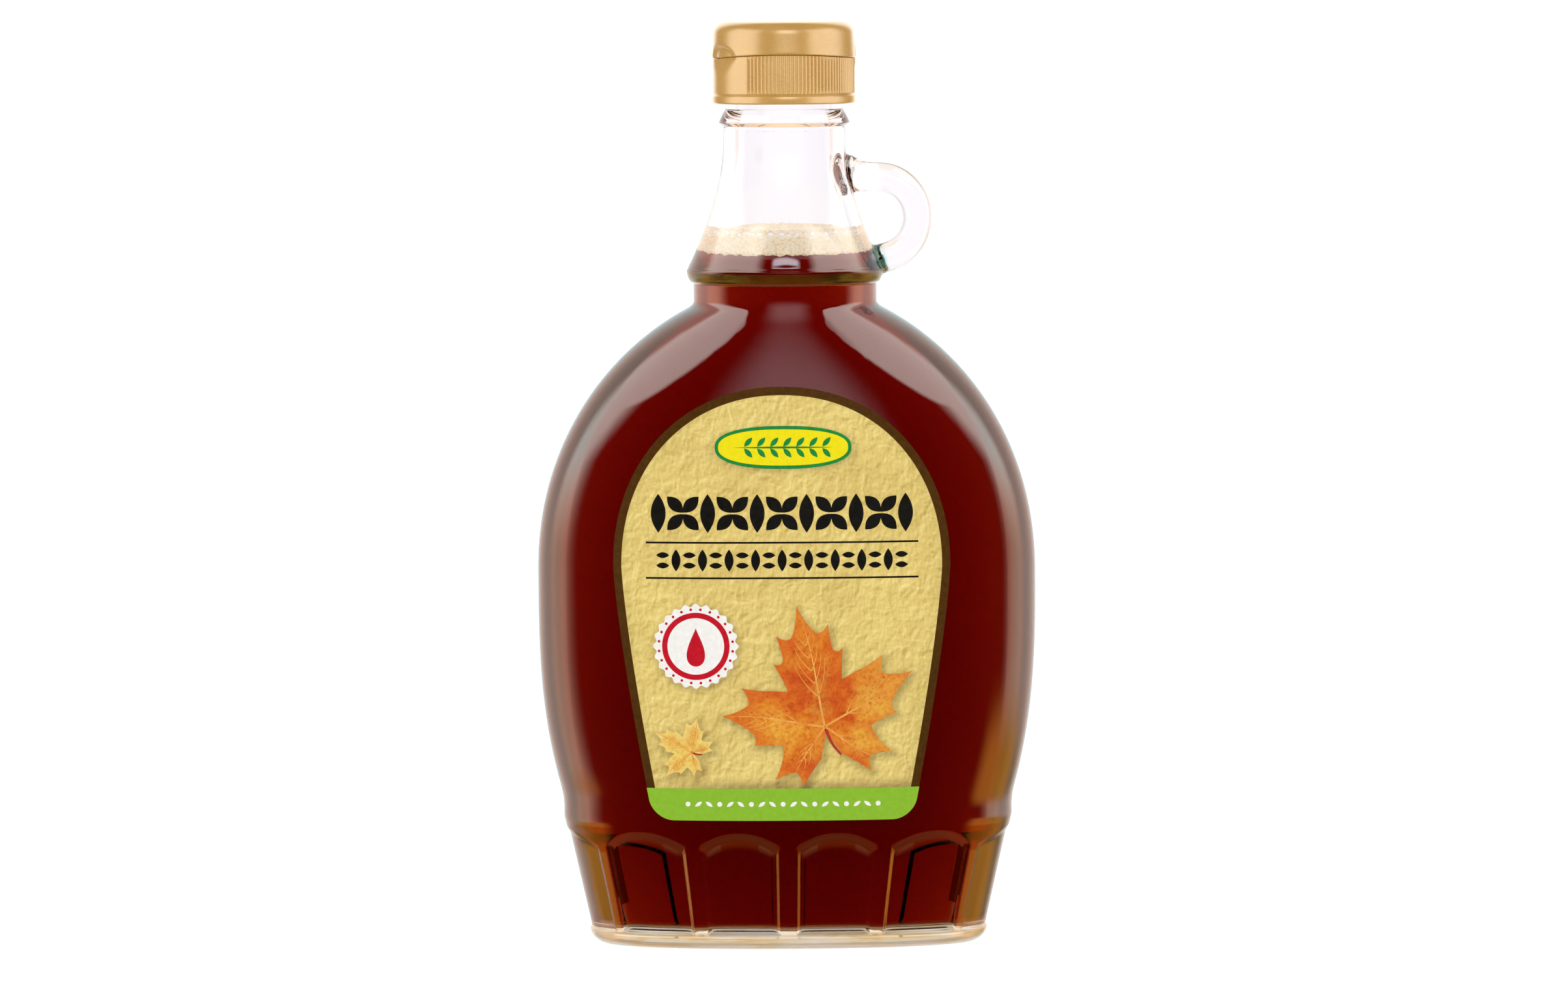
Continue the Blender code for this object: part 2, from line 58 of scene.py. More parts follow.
# ---- the bottle's own dimensions, mm -----------------------------------------
BODY_HALF_WIDTH, WIDEST_Z = 56.1, 84.0
BODY_HALF_DEPTH, FULL_DEPTH_Z = 28.3, 78.8
SHOULDER_RISE, SHOULDER_N, SHOULDER_M = 64.9, 2.07, 1.84
FLANK_K, FLANK_Q = 6.81e-5, 2.88
DEPTH_DROP, DEPTH_N, DEPTH_FLANK = 7.8, 2.4, 0.53
SHOULDER_TOP_Z = 143.9
BODY_P, FOOT_P = 2.25, 2.2
ROUND_Z = (110.0, 145.0)
SKIRT_TOP_Z = 27.3
SKIRT_TOP_HALF = (50.24, 27.72)
SKIRT_SLOPE = (0.225, 0.215)
SKIRT_SHELF = 0.09
BEAD_Z, BEAD_H, BEAD_R = 28.8, 1.6, 0.23
HEEL_R, BEARING_W, PUNT = 2.95, 4.4, 1.5
FLUTE_EDGES = ((0.036, 0.404), (0.463, 0.822))
SIDE_FLUTE_EDGE = 0.858
FLUTE_Z0, FLUTE_SPRING_Z, FLUTE_RISE = 3.25, 23.3, 3.45
FLUTE_DEPTH, SIDE_FLUTE_DEPTH = 0.8, 0.55
FLUTE_BEVEL_SIDE, FLUTE_BEVEL_TOP, FLUTE_BEVEL_FOOT = 1.25, 2.1, 0.65
NECK_FROM_Z, COLLAR_R = 147.5, 20.6
RING_Z, RING_R, RING_LOWER = 151.6, 22.15, 3.05
WAIST_Z, WAIST_R, FLARE_K, FLARE_Q = 179.5, 13.7, 0.0337, 1.657
TRANSFER_BEAD_Z, TRANSFER_BEAD_R, BEAD_BELOW, BEAD_ABOVE = 184.6, 14.75, 1.05, 2.75
FINISH_R, MOUTH_Z, BORE_R = 13.25, 197.3, 10.4
WALL, BASE_THICK, INNER_HEEL_R, NECK_IN_R = 3.15, 4.6, 2.2, 17.3
BORE_K, BORE_Q = 0.0345, 1.6
SYRUP_TOP_Z, FOAM_TOP_Z = 154.8, 160.5
HANDLE_R, HANDLE_CENTRE, HANDLE_RADIUS = 3.25, (21.3, 163.1), (8.5, 9.05)
CAP_BOTTOM_Z, CAP_BEAD_Z, CAP_SEAM_Z, CAP_TOP_Z = 188.8, 190.7, 199.1, 207.4
CAP_R, CAP_TOP_R, CAP_CORNER, CAP_BORE_R = 16.1, 15.75, 2.75, 13.75
LABEL_X, LABEL_HALF_W = -1.1, 37.55
LABEL_WIDEST_Z, LABEL_TOP_Z, LABEL_BOTTOM_Z = 86.3, 126.2, 29.6
LABEL_ARCH_N, LABEL_TAPER, LABEL_CORNER = 2.12, (0.0471, 1.29), 4.6
LABEL_BORDER = 1.85
BAND_TOP_Z = 36.8


# ---- shape functions, all working on arrays ----------------------------------
def smooth_max(a, b, k):
    h = np.maximum(k - np.abs(a - b), 0.0) / k
    return np.maximum(a, b) + h * h * k * 0.25


def smooth_min(a, b, k):
    return -smooth_max(-a, -b, k)


def ease(u):
    u = np.clip(u, 0.0, 1.0)
    return u * u * (3.0 - 2.0 * u)


def neck_radius(z):
    u = np.clip((RING_Z - z) / RING_LOWER, 0.0, 1.0)
    below = COLLAR_R + (RING_R - COLLAR_R) * np.sqrt(1.0 - u * u)
    flare = WAIST_R + FLARE_K * np.maximum(WAIST_Z - z, 0.0) ** FLARE_Q
    r = np.where(z < RING_Z, below,
                 np.where(z < TRANSFER_BEAD_Z - BEAD_BELOW, smooth_min(flare, RING_R + 0 * z, 0.5), FINISH_R))
    d = z - TRANSFER_BEAD_Z
    rise = np.clip(np.where(d < 0.0, 1.0 + d / BEAD_BELOW, 1.0 - d / BEAD_ABOVE), 0.0, 1.0)
    crest = FINISH_R + (TRANSFER_BEAD_R - FINISH_R) * rise ** 0.8
    return np.where(rise > 0.0, smooth_max(r, crest, 0.35), r)


def body_half_width(z):
    u = np.clip((z - WIDEST_Z) / SHOULDER_RISE, 0.0, 0.999)
    upper = BODY_HALF_WIDTH * (1.0 - u ** SHOULDER_N) ** (1.0 / SHOULDER_M)
    flank = BODY_HALF_WIDTH - FLANK_K * np.maximum(WIDEST_Z - z, 0.0) ** FLANK_Q
    shelf = SKIRT_TOP_HALF[0] + SKIRT_SHELF * (z - SKIRT_TOP_Z - 1.0)
    skirt = SKIRT_TOP_HALF[0] + SKIRT_SLOPE[0] * (z - SKIRT_TOP_Z)
    return np.where(z >= WIDEST_Z, upper, smooth_min(smooth_max(flank, shelf, 0.4), skirt, 0.4))


def body_half_depth(z):
    u = np.clip((z - FULL_DEPTH_Z) / (SHOULDER_TOP_Z - FULL_DEPTH_Z), 0.0, 1.2)
    upper = BODY_HALF_DEPTH - DEPTH_DROP * u ** DEPTH_N
    flank = BODY_HALF_DEPTH - DEPTH_FLANK * (np.maximum(FULL_DEPTH_Z - z, 0.0) / 47.0) ** 2.5
    skirt = SKIRT_TOP_HALF[1] + SKIRT_SLOPE[1] * (z - SKIRT_TOP_Z)
    return np.where(z >= FULL_DEPTH_Z, upper, smooth_min(flank, skirt, 0.4))


def rounding(z):
    return ease((z - ROUND_Z[0]) / (ROUND_Z[1] - ROUND_Z[0]))


def outer_section(z):
    z = np.asarray(z, float)
    a, b = body_half_width(z), body_half_depth(z)
    r = neck_radius(z)
    a = np.where(z > ROUND_Z[0], smooth_max(a, r, 1.7), a)
    b = np.where(z > ROUND_Z[0], smooth_max(b, r, 1.0), b)
    a, b = np.where(z > NECK_FROM_Z, r, a), np.where(z > NECK_FROM_Z, r, b)
    bead = BEAD_R * np.exp(-((z - BEAD_Z) / BEAD_H) ** 2)
    a, b = a + bead, b + 0.5 * bead
    h = np.clip(HEEL_R - z, 0.0, HEEL_R)
    inset = HEEL_R - np.sqrt(HEEL_R ** 2 - h ** 2)
    p = FOOT_P + (BODY_P - FOOT_P) * np.clip((z - 10.0) / 25.0, 0.0, 1.0)
    p = p + (2.0 - p) * rounding(z)
    return a - inset, b - inset, p


def inner_section(z):
    z = np.asarray(z, float)
    a, b = body_half_width(z) - WALL, body_half_depth(z) - WALL
    r = smooth_min(BORE_R + BORE_K * np.maximum(WAIST_Z - z, 0.0) ** BORE_Q, NECK_IN_R + 0 * z, 0.8)
    a = np.where(z > ROUND_Z[0], smooth_max(a, r, 2.6), a)
    b = np.where(z > ROUND_Z[0], smooth_max(b - 0.2 * ease((z - 110.0) / 8.0), r, 1.7), b)
    a, b = np.where(z > NECK_FROM_Z, r, a), np.where(z > NECK_FROM_Z, r, b)
    h = np.clip(INNER_HEEL_R - (z - BASE_THICK), 0.0, INNER_HEEL_R)
    inset = INNER_HEEL_R - np.sqrt(INNER_HEEL_R ** 2 - h ** 2)
    p = BODY_P + (2.0 - BODY_P) * rounding(z)
    return a - inset, b - inset, p


def section_xy(a, b, p, t):
    c, s = np.cos(t), np.sin(t)
    k = (np.abs(c) ** p + np.abs(s) ** p) ** (-1.0 / p)
    return a * c * k, b * s * k


def surface(section, t, z):
    a, b, p = section(z)
    x, y = section_xy(a, b, p, t)
    return np.stack(np.broadcast_arrays(x, y, z), -1)


def surface_normal(section, t, z):
    along = surface(section, t + 0.004, z) - surface(section, t - 0.004, z)
    up = surface(section, t, z + 0.08) - surface(section, t, z - 0.08)
    n = np.cross(along, up)
    return n / np.linalg.norm(n, axis=-1, keepdims=True)


def ripple(t, z, seed):
    """Gentle unevenness of blown glass, about -1 to 1."""
    rng = random.Random(seed)
    total = 0.0 * (t + z)
    for k in range(7):
        m = rng.choice((1, 2, 3, 3, 4, 5))
        w = rng.uniform(0.05, 0.17)
        total = total + math.sin(1.0 + k) * 0.3 * np.sin(m * t + rng.uniform(0, 6.28)) * np.cos(w * z + rng.uniform(0, 6.28))
    return total


def inner_point(t, z, push=0.0):
    base = surface(inner_section, t, z)
    away = 0.16 * ripple(t, z, 5) * ease((z - 9.0) / 12.0) * (1.0 - ease((z - 120.0) / 25.0))
    n = surface_normal(inner_section, t, np.maximum(z, BASE_THICK + 0.12))
    return base + n * (push + away)[..., None]


def front_y(x, z):
    a, b, p = outer_section(z)
    u = np.minimum(np.abs(x) / a, 0.999)
    return -b * (1.0 - u ** p) ** (1.0 / p)


def on_front(x, z, lift):
    """Point above the broad front face at (x, z), lift along its normal."""
    x, z = np.asarray(x, float), np.asarray(z, float)
    dx = (front_y(x + 0.2, z) - front_y(x - 0.2, z)) / 0.4
    dz = (front_y(x, z + 0.2) - front_y(x, z - 0.2)) / 0.4
    n = np.stack([dx, -np.ones_like(dx), dz], -1)
    n /= np.linalg.norm(n, axis=-1, keepdims=True)
    return np.stack([x, front_y(x, z), z], -1) + n * lift


# ---- mesh helpers -------------------------------------------------------------
scene = bpy.context.scene
looks = bpy.data.collections.new("looks")
scene.collection.children.link(looks)


def make_piece(name, verts, faces, mat, replaces=(), smooth=True, sharp=None):
    mesh = bpy.data.meshes.new(name)
    mesh.from_pydata([tuple(v) for v in (np.asarray(verts) * MM)], [], faces)
    mesh.validate()
    return finish_piece(name, mesh, mat, replaces, smooth, sharp)


def finish_piece(name, mesh, mat, replaces=(), smooth=True, sharp=None):
    for i, m in enumerate(mat if isinstance(mat, tuple) else (mat,)):
        if i < len(mesh.materials):
            mesh.materials[i] = m
        else:
            mesh.materials.append(m)
    while len(mesh.materials) > i + 1:
        mesh.materials.pop(index=len(mesh.materials) - 1)
    obj = bpy.data.objects.new(name, mesh)
    looks.objects.link(obj)
    if smooth:
        mesh.shade_smooth()
        if sharp:
            mesh.set_sharp_from_angle(angle=math.radians(sharp))
    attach(obj, "root")
    if replaces:
        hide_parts(*replaces)
    return obj


def grid_faces(start, rows, cols, wrap=True, flip=False):
    """Quads of a rows x cols block of vertices that begins at index start."""
    out = []
    last = cols if wrap else cols - 1
    for i in range(rows - 1):
        a = start + i * cols
        for j in range(last):
            k = (j + 1) % cols
            quad = (a + j, a + k, a + cols + k, a + cols + j)
            out.append(quad[::-1] if flip else quad)
    return out


def fan(centre, ring, flip=False):
    out = []
    for i in range(len(ring)):
        tri = (centre, ring[i], ring[(i + 1) % len(ring)])
        out.append(tri[::-1] if flip else tri)
    return out


def zip_rings(low, high):
    """Triangles between two closed rings given as [(angle, index)], both rising in angle."""
    out = []
    n, m = len(low), len(high)
    i = j = 0
    while i < n or j < m:
        next_low = low[i + 1][0] if i + 1 < n else 2.0 * PI + (0.0 if i < n else 1e9)
        next_high = high[j + 1][0] if j + 1 < m else 2.0 * PI + (0.0 if j < m else 1e9)
        if i < n and (j >= m or next_low <= next_high):
            out.append((low[i % n][1], low[(i + 1) % n][1], high[j % m][1]))
            i += 1
        else:
            out.append((low[i % n][1], high[(j + 1) % m][1], high[j % m][1]))
            j += 1
    return out


def spread(z0, z1, n):
    return list(np.linspace(z0, z1, n, endpoint=False))


# ---- material helpers -----------------------------------------------------------
def lin(r, g, b):
    """Display colour, 0 to 255, as linear light."""
    out = []
    for c in (r, g, b):
        c /= 255.0
        out.append(c / 12.92 if c <= 0.04045 else ((c + 0.055) / 1.055) ** 2.4)
    return tuple(out)


class Shader:
    """A Principled material with small helpers for its nodes."""

    def __init__(self, name):
        self.mat = bpy.data.materials.new(name)
        self.mat.use_nodes = True
        self.tree = self.mat.node_tree
        self.nodes, self.links = self.tree.nodes, self.tree.links
        self.bsdf = self.nodes["Principled BSDF"]
        self.out = self.nodes["Material Output"]
        self.place = None

    def set(self, **values):
        for key, value in values.items():
            socket = self.bsdf.inputs[key.replace("_", " ")]
            socket.default_value = (*value, 1.0) if isinstance(value, tuple) and len(value) == 3 else value
        return self

    def coords(self):
        if self.place is None:
            self.place = self.nodes.new("ShaderNodeTexCoord")
        return self.place.outputs["Object"]

    def node(self, kind, **inputs):
        node = self.nodes.new(kind)
        for key, value in inputs.items():
            if isinstance(value, bpy.types.NodeSocket):
                self.links.new(value, node.inputs[key])
            else:
                node.inputs[key].default_value = value
        return node

    def noise(self, scale, detail=2.0, rough=0.5, vector=None, distort=0.0):
        node = self.node("ShaderNodeTexNoise", Scale=scale, Detail=detail, Roughness=rough,
                         Distortion=distort)
        self.links.new(vector or self.coords(), node.inputs["Vector"])
        return node.outputs["Fac"]

    def cells(self, scale, feature="F1", vector=None, smooth=None):
        node = self.nodes.new("ShaderNodeTexVoronoi")
        node.feature = feature
        node.inputs["Scale"].default_value = scale
        if smooth is not None and feature == "SMOOTH_F1":
            node.inputs["Smoothness"].default_value = smooth
        self.links.new(vector or self.coords(), node.inputs["Vector"])
        return node.outputs["Distance"]

    def math(self, operation, a, b=0.0, clamp=False):
        node = self.nodes.new("ShaderNodeMath")
        node.operation = operation
        node.use_clamp = clamp
        for socket, value in zip(node.inputs, (a, b)):
            if isinstance(value, bpy.types.NodeSocket):
                self.links.new(value, socket)
            else:
                socket.default_value = value
        return node.outputs[0]

    def ramp(self, fac, stops, interpolation="LINEAR"):
        node = self.nodes.new("ShaderNodeValToRGB")
        node.color_ramp.interpolation = interpolation
        elements = node.color_ramp.elements
        while len(elements) < len(stops):
            elements.new(0.5)
        for element, (at, colour) in zip(elements, stops):
            element.position = at
            element.color = (*colour, 1.0)
        self.links.new(fac, node.inputs["Fac"])
        return node.outputs["Color"]

    def mix(self, fac, a, b, blend="MIX"):
        node = self.nodes.new("ShaderNodeMix")
        node.data_type = "RGBA"
        node.blend_type = blend
        for index, value in ((0, fac), (6, a), (7, b)):
            if isinstance(value, bpy.types.NodeSocket):
                self.links.new(value, node.inputs[index])
            elif isinstance(value, tuple):
                node.inputs[index].default_value = (*value, 1.0)
            else:
                node.inputs[index].default_value = value
        return node.outputs[2]

    def map_range(self, value, a, b, c, d):
        node = self.nodes.new("ShaderNodeMapRange")
        self.links.new(value, node.inputs["Value"])
        for key, v in (("From Min", a), ("From Max", b), ("To Min", c), ("To Max", d)):
            node.inputs[key].default_value = v
        return node.outputs["Result"]

    def shifted(self, x, y, z, scale=(1.0, 1.0, 1.0)):
        node = self.nodes.new("ShaderNodeMapping")
        node.inputs["Location"].default_value = (x, y, z)
        node.inputs["Scale"].default_value = scale
        self.links.new(self.coords(), node.inputs["Vector"])
        return node.outputs["Vector"]

    def bump(self, height, strength, distance):
        node = self.node("ShaderNodeBump", Strength=strength, Distance=distance)
        self.links.new(height, node.inputs["Height"])
        if self.bsdf.inputs["Normal"].is_linked:
            self.links.new(self.bsdf.inputs["Normal"].links[0].from_socket, node.inputs["Normal"])
        self.links.new(node.outputs["Normal"], self.bsdf.inputs["Normal"])
        return self

    def link(self, socket, name):
        self.links.new(socket, self.bsdf.inputs[name])
        return self

    def absorb(self, colour, density):
        node = self.nodes.new("ShaderNodeVolumeAbsorption")
        node.inputs["Color"].default_value = (*colour, 1.0)
        node.inputs["Density"].default_value = density
        self.links.new(node.outputs["Volume"], self.out.inputs["Volume"])
        return self


def absorbing(per_metre):
    """Colour and density of a Volume Absorption with these losses per metre."""
    density = max(per_metre) * 1.1
    return tuple(1.0 - k / density for k in per_metre), density


def glass_material(name, kind="clear"):
    """Clear glass with painted light in its colour: faintly lilac in the neck, grey-teal in the thick body, warm at the
    ends and the foot, standing for what is seen through it.
    """
    s = Shader(name)
    if kind == "wetted":
        # where liquid touches the wall hardly any light is mirrored back
        s.set(Base_Color=(1.0, 1.0, 1.0), Specular_Tint=(0.0, 0.0, 0.0))
    elif kind == "olive":
        # painted shade: the hollow under the neck ring is painted dark, green for the light it gathers from the thick
        # wall, brown where the syrup is deepest
        band = s.ramp(s.noise(260.0, 3.0, 0.6, s.shifted(0.0, 0.0, 0.0, (0.5, 0.5, 2.0))),
                      [(0.38, (0.012, 0.018, 0.003)), (0.5, (0.035, 0.036, 0.006)), (0.62, (0.13, 0.105, 0.014))])
        place = s.nodes.new("ShaderNodeSeparateXYZ")
        s.links.new(s.coords(), place.inputs[0])
        out = s.math("ABSOLUTE", place.outputs["X"])
        band = s.mix(s.map_range(out, 0.006, 0.012, 0.8, 0.0), band, (0.13, 0.04, 0.004))
        band = s.mix(s.map_range(out, 0.0165, 0.02, 0.0, 0.7), band, (0.17, 0.18, 0.02))
        s.link(band, "Base Color")
        s.set(Specular_Tint=(0.09, 0.15, 0.03))
    elif kind == "deep":
        # painted shade: the outer bevels of the end panels are painted near-black, with their reflection dimmed, since
        # they look along the flask's whole length
        s.link(s.ramp(s.noise(150.0, 2.0), [(0.3, (0.05, 0.04, 0.03)), (0.7, (0.09, 0.07, 0.05))]), "Base Color")
        s.set(Specular_Tint=(0.05, 0.05, 0.05))
    elif kind == "root":
        # painted light: green is painted where the handle's foot meets the neck, for the green light that gathers there
        s.link(s.ramp(s.noise(420.0, 3.0, 0.6), [(0.35, (0.08, 0.2, 0.14)), (0.65, ROOT_PAINTED_GREEN)]), "Base Color")
        s.set(Specular_Tint=(0.4, 0.5, 0.45))
    else:
        place = s.nodes.new("ShaderNodeSeparateXYZ")
        s.links.new(s.coords(), place.inputs[0])
        height = s.map_range(place.outputs["Z"], 0.0, 0.2, 0.0, 1.0)
        # painted light: the glass tint changes with height to stand for what is seen through it
        body = s.ramp(height, [(0.0, LOW_PAINTED_TINT), (0.2, LOW_PAINTED_TINT), (0.6, BODY_PAINTED_TINT), (0.745, BODY_PAINTED_TINT), (0.755, RING_PAINTED_TINT),
                               (0.768, RING_PAINTED_TINT), (0.776, NECK_PAINTED_TINT), (1.0, NECK_PAINTED_TINT)])
        # the ring handle is solid; painted light gives it its own tint, and a painted warm glow along its crown and
        # inside its foot
        high = s.map_range(place.outputs["Z"], 0.1545, 0.1555, 0.0, 1.0)
        rod = s.math("MULTIPLY", s.map_range(place.outputs["X"], 0.0205, 0.0225, 0.0, 1.0), high, clamp=True)
        low = s.math("MULTIPLY", s.map_range(place.outputs["X"], 0.0224, 0.023, 0.0, 1.0),
                     s.map_range(place.outputs["Z"], 0.149, 0.1497, 0.0, 1.0), clamp=True)
        body = s.mix(s.math("MAXIMUM", rod, low), body, HANDLE_PAINTED_TINT)
        level = s.math("DIVIDE", s.math("SUBTRACT", place.outputs["Z"], 0.001 * HANDLE_CENTRE[1]), 0.00905)
        side = s.math("DIVIDE", s.math("SUBTRACT", place.outputs["X"], 0.001 * HANDLE_CENTRE[0]), 0.0085)
        reach = s.math("SQRT", s.math("ADD", s.math("MULTIPLY", level, level), s.math("MULTIPLY", side, side)))
        crown = s.math("MULTIPLY", s.map_range(reach, 1.16, 1.24, 0.0, 1.0), s.map_range(level, 0.62, 1.0, 0.0, 1.0), clamp=True)
        inside = s.math("MULTIPLY", s.map_range(reach, 0.84, 0.76, 0.0, 1.0), s.map_range(level, -0.42, -0.6, 0.0, 1.0), clamp=True)
        warm = s.math("MULTIPLY", s.math("ADD", crown, inside), s.map_range(place.outputs["X"], 0.0205, 0.0215, 0.0, 1.0), clamp=True)
        body = s.mix(warm, body, HANDLE_PAINTED_WARMTH)
        # painted light: the thin ends of the skirt are painted warm for the light that comes through them
        out = s.math("ABSOLUTE", place.outputs["X"])
        ends = s.map_range(out, 0.0385, 0.042, 0.0, 1.0)
        skirt = s.map_range(place.outputs["Z"], 0.0275, 0.031, 1.0, 0.0)
        body = s.mix(s.math("MULTIPLY", ends, skirt, clamp=True), body, SKIRT_PAINTED_GLOW)
        # painted light: the foot is painted cream with golden swirls, standing for the floor and syrup light seen
        # through it
        glow_swirls = s.noise(240.0, 3.0, 0.6, s.shifted(0.0, 0.0, 0.0, (0.22, 0.22, 2.2)), distort=0.6)
        foot = s.ramp(glow_swirls, [(0.36, FOOT_PAINTED_STREAK), (0.5, FOOT_PAINTED_TINT), (0.7, (1.0, 0.93, 0.82))])
        low = s.map_range(place.outputs["Z"], 0.0046, 0.0052, 1.0, 0.0)
        s.link(s.mix(s.math("ADD", low, 0.0, clamp=True), body, foot), "Base Color")
        if kind == "arch":
            # painted reflection: an amber reflection tint on the bevels over the panels stands for the warm light
            # between skirt and syrup
            s.set(Specular_Tint=(0.8, 0.4, 0.12))
    # the olive, root and foot copies are half diffuse, so their painted shade and light show directly
    s.set(Roughness=0.0, IOR=1.52, Transmission_Weight={"olive": 0.5, "root": 0.45, "foot": 0.5}.get(kind, 1.0))
    s.absorb(*absorbing((1.2, 3.2, 1.4)))
    s.bump(s.noise(120.0, 2.0, 0.4), 0.05, 0.0003)
    return s.mat


def syrup_material():
    s = Shader("dark_syrup_liquid")
    s.set(Base_Color=(1.0, 1.0, 1.0), Roughness=0.0, IOR=1.48, Transmission_Weight=1.0,
          Specular_Tint=(0.0, 0.0, 0.0))
    s.absorb(*absorbing((39.5, 165.0, 420.0)))
    return s.mat


def foam_material():
    s = Shader("syrup_foam_bubbles")
    up = s.nodes.new("ShaderNodeSeparateXYZ")
    s.links.new(s.coords(), up.inputs[0])
    height = s.map_range(up.outputs["Z"], 0.1546, 0.1605, 0.0, 1.0)
    # the froth lies against the wall, which traps part of its light, so its own colours are pale
    body = s.ramp(height, [(0.0, lin(236, 224, 206)), (0.1, lin(252, 246, 236)), (0.5, lin(250, 242, 222)),
                           (0.68, lin(246, 234, 200)), (0.8, lin(226, 200, 150)), (0.93, lin(204, 168, 116)),
                           (1.0, lin(176, 134, 90))])
    # the froth's top is pale, only its rim against the wall is brown
    flat = s.nodes.new("ShaderNodeVectorMath")
    flat.operation = "MULTIPLY"
    s.links.new(s.coords(), flat.inputs[0])
    flat.inputs[1].default_value = (1.0, 1.0, 0.0)
    reach = s.nodes.new("ShaderNodeVectorMath")
    reach.operation = "LENGTH"
    s.links.new(flat.outputs[0], reach.inputs[0])
    inside = s.map_range(reach.outputs["Value"], 0.0148, 0.0155, 1.0, 0.0)
    body = s.mix(inside, body, lin(255, 252, 244))
    # a little less light reaches the froth's far left and right
    across = s.map_range(s.math("ABSOLUTE", up.outputs["X"]), 0.006, 0.018, 0.0, 1.0)
    body = s.mix(across, body, (0.87, 0.87, 0.87), "MULTIPLY")
    small = s.cells(1700.0)
    fine = s.cells(3400.0)
    rim = s.ramp(small, [(0.0, (1.0, 1.0, 1.0)), (0.45, (1.0, 1.0, 0.99)), (0.8, lin(226, 202, 150))])
    grain = s.ramp(fine, [(0.0, (1.0, 1.0, 1.0)), (1.0, lin(240, 228, 200))])
    colour = s.mix(0.75, body, rim, "MULTIPLY")
    colour = s.mix(0.5, colour, grain, "MULTIPLY")
    blotch = s.ramp(s.noise(320.0, 3.0), [(0.35, lin(247, 238, 214)), (0.65, (1.0, 1.0, 1.0))])
    colour = s.mix(0.35, colour, blotch, "MULTIPLY")
    # dark specks where the froth meets the liquid
    speck = s.math("GREATER_THAN", s.noise(2300.0, 2.0), 0.61)
    low = s.map_range(height, 0.02, 0.2, 1.0, 0.0)
    colour = s.mix(s.math("MULTIPLY", speck, low, clamp=True), colour, lin(120, 92, 66))
    s.link(colour, "Base Color")
    # a faint painted glow (emission) stands for the light that wanders inside the froth and comes out again
    s.set(Roughness=0.45, Specular_IOR_Level=0.2, Emission_Color=(1.0, 0.85, 0.58), Emission_Strength=0.28)
    s.bump(small, 0.5, 0.00025)
    return s.mat


def bubble_material():
    s = Shader("large_bubble_film")
    tone = s.ramp(s.noise(700.0, 1.0), [(0.3, lin(246, 238, 226)), (0.7, lin(255, 252, 250))])
    # painted shade: the film colour darkens the crease round each bubble brown
    film = s.nodes.new("ShaderNodeVertexColor")
    film.layer_name = "film"
    tone = s.mix(1.0, tone, film.outputs["Color"], "MULTIPLY")
    s.link(tone, "Base Color")
    # painted glow: emission keeps the bubble domes white
    s.set(Roughness=0.35, IOR=1.33, Specular_IOR_Level=0.2, Emission_Color=(1.0, 0.95, 0.88), Emission_Strength=0.34)
    s.bump(s.noise(2500.0, 1.0), 0.05, 0.0001)
    return s.mat


def bore_material():
    """Inside of the cap: a painted glow (emission) stands for the light that comes through the thin plastic."""
    s = Shader("cap_bore_plastic")
    s.link(s.ramp(s.noise(300.0, 2.0), [(0.3, lin(226, 196, 146)), (0.7, lin(238, 214, 170))]), "Base Color")
    s.set(Roughness=0.5, Specular_IOR_Level=0.2, Emission_Color=(1.0, 0.84, 0.62), Emission_Strength=0.5)
    return s.mat


def gold_material(name):
    s = Shader(name)
    flakes = s.noise(9000.0, 2.0, 0.6)
    clouds = s.noise(130.0, 3.0, 0.55)
    colour = s.ramp(clouds, [(0.3, lin(200, 152, 74)), (0.7, lin(212, 164, 84))])
    colour = s.mix(0.3, colour, s.ramp(flakes, [(0.35, lin(224, 200, 160)), (0.65, (1.0, 1.0, 1.0))]), "MULTIPLY")
    s.link(colour, "Base Color")
    s.set(IOR=2.1, Specular_Tint=(1.0, 0.94, 0.8))
    s.link(s.map_range(flakes, 0.3, 0.7, 0.23, 0.31), "Roughness")
    s.bump(flakes, 0.06, 0.00003)
    s.bump(clouds, 0.05, 0.0004)
    return s.mat


def ink_material(name, light, dark, rough=0.45, grain=900.0):
    s = Shader(name)
    tone = s.ramp(s.noise(grain, 3.0, 0.6), [(0.3, dark), (0.7, light)])
    s.link(tone, "Base Color")
    s.set(Roughness=rough, Specular_IOR_Level=0.06)
    s.bump(s.noise(2600.0, 2.0), 0.08, 0.00005)
    return s.mat


def paper_material():
    """Tan paper printed with a rough plaster-like ground, lit from the upper left."""
    s = Shader("label_tan_paper")
    flow = s.noise(95.0, 2.0, 0.5)
    def ground(dx, dz):
        v = s.shifted(dx, 0.0, dz, (1.0, 0.25, 0.8))
        broad = s.noise(330.0, 3.0, 0.55, v, distort=0.6)
        fine = s.noise(820.0, 2.0, 0.5, v, distort=0.4)
        return s.math("ADD", broad, s.math("MULTIPLY", fine, 0.45))
    here, there = ground(0.0, 0.0), ground(0.00035, -0.00035)
    slope = s.math("SUBTRACT", here, there)
    shade = s.map_range(slope, -0.2, 0.2, 0.0, 1.0)
    tone = s.ramp(shade, [(0.0, lin(204, 178, 99)), (0.35, lin(224, 198, 116)), (0.5, lin(230, 205, 122)),
                          (0.68, lin(237, 213, 131)), (1.0, lin(246, 225, 149))])
    drift = s.ramp(flow, [(0.3, lin(240, 236, 228)), (0.7, (1.0, 1.0, 1.0))])
    tone = s.mix(0.8, tone, drift, "MULTIPLY")
    shadow = s.nodes.new("ShaderNodeVertexColor")
    shadow.layer_name = "cast"
    tone = s.mix(1.0, tone, shadow.outputs["Color"], "MULTIPLY")
    s.link(tone, "Base Color")
    s.set(Roughness=0.55, Specular_IOR_Level=0.08)
    s.bump(here, 0.12, 0.0002)
    return s.mat


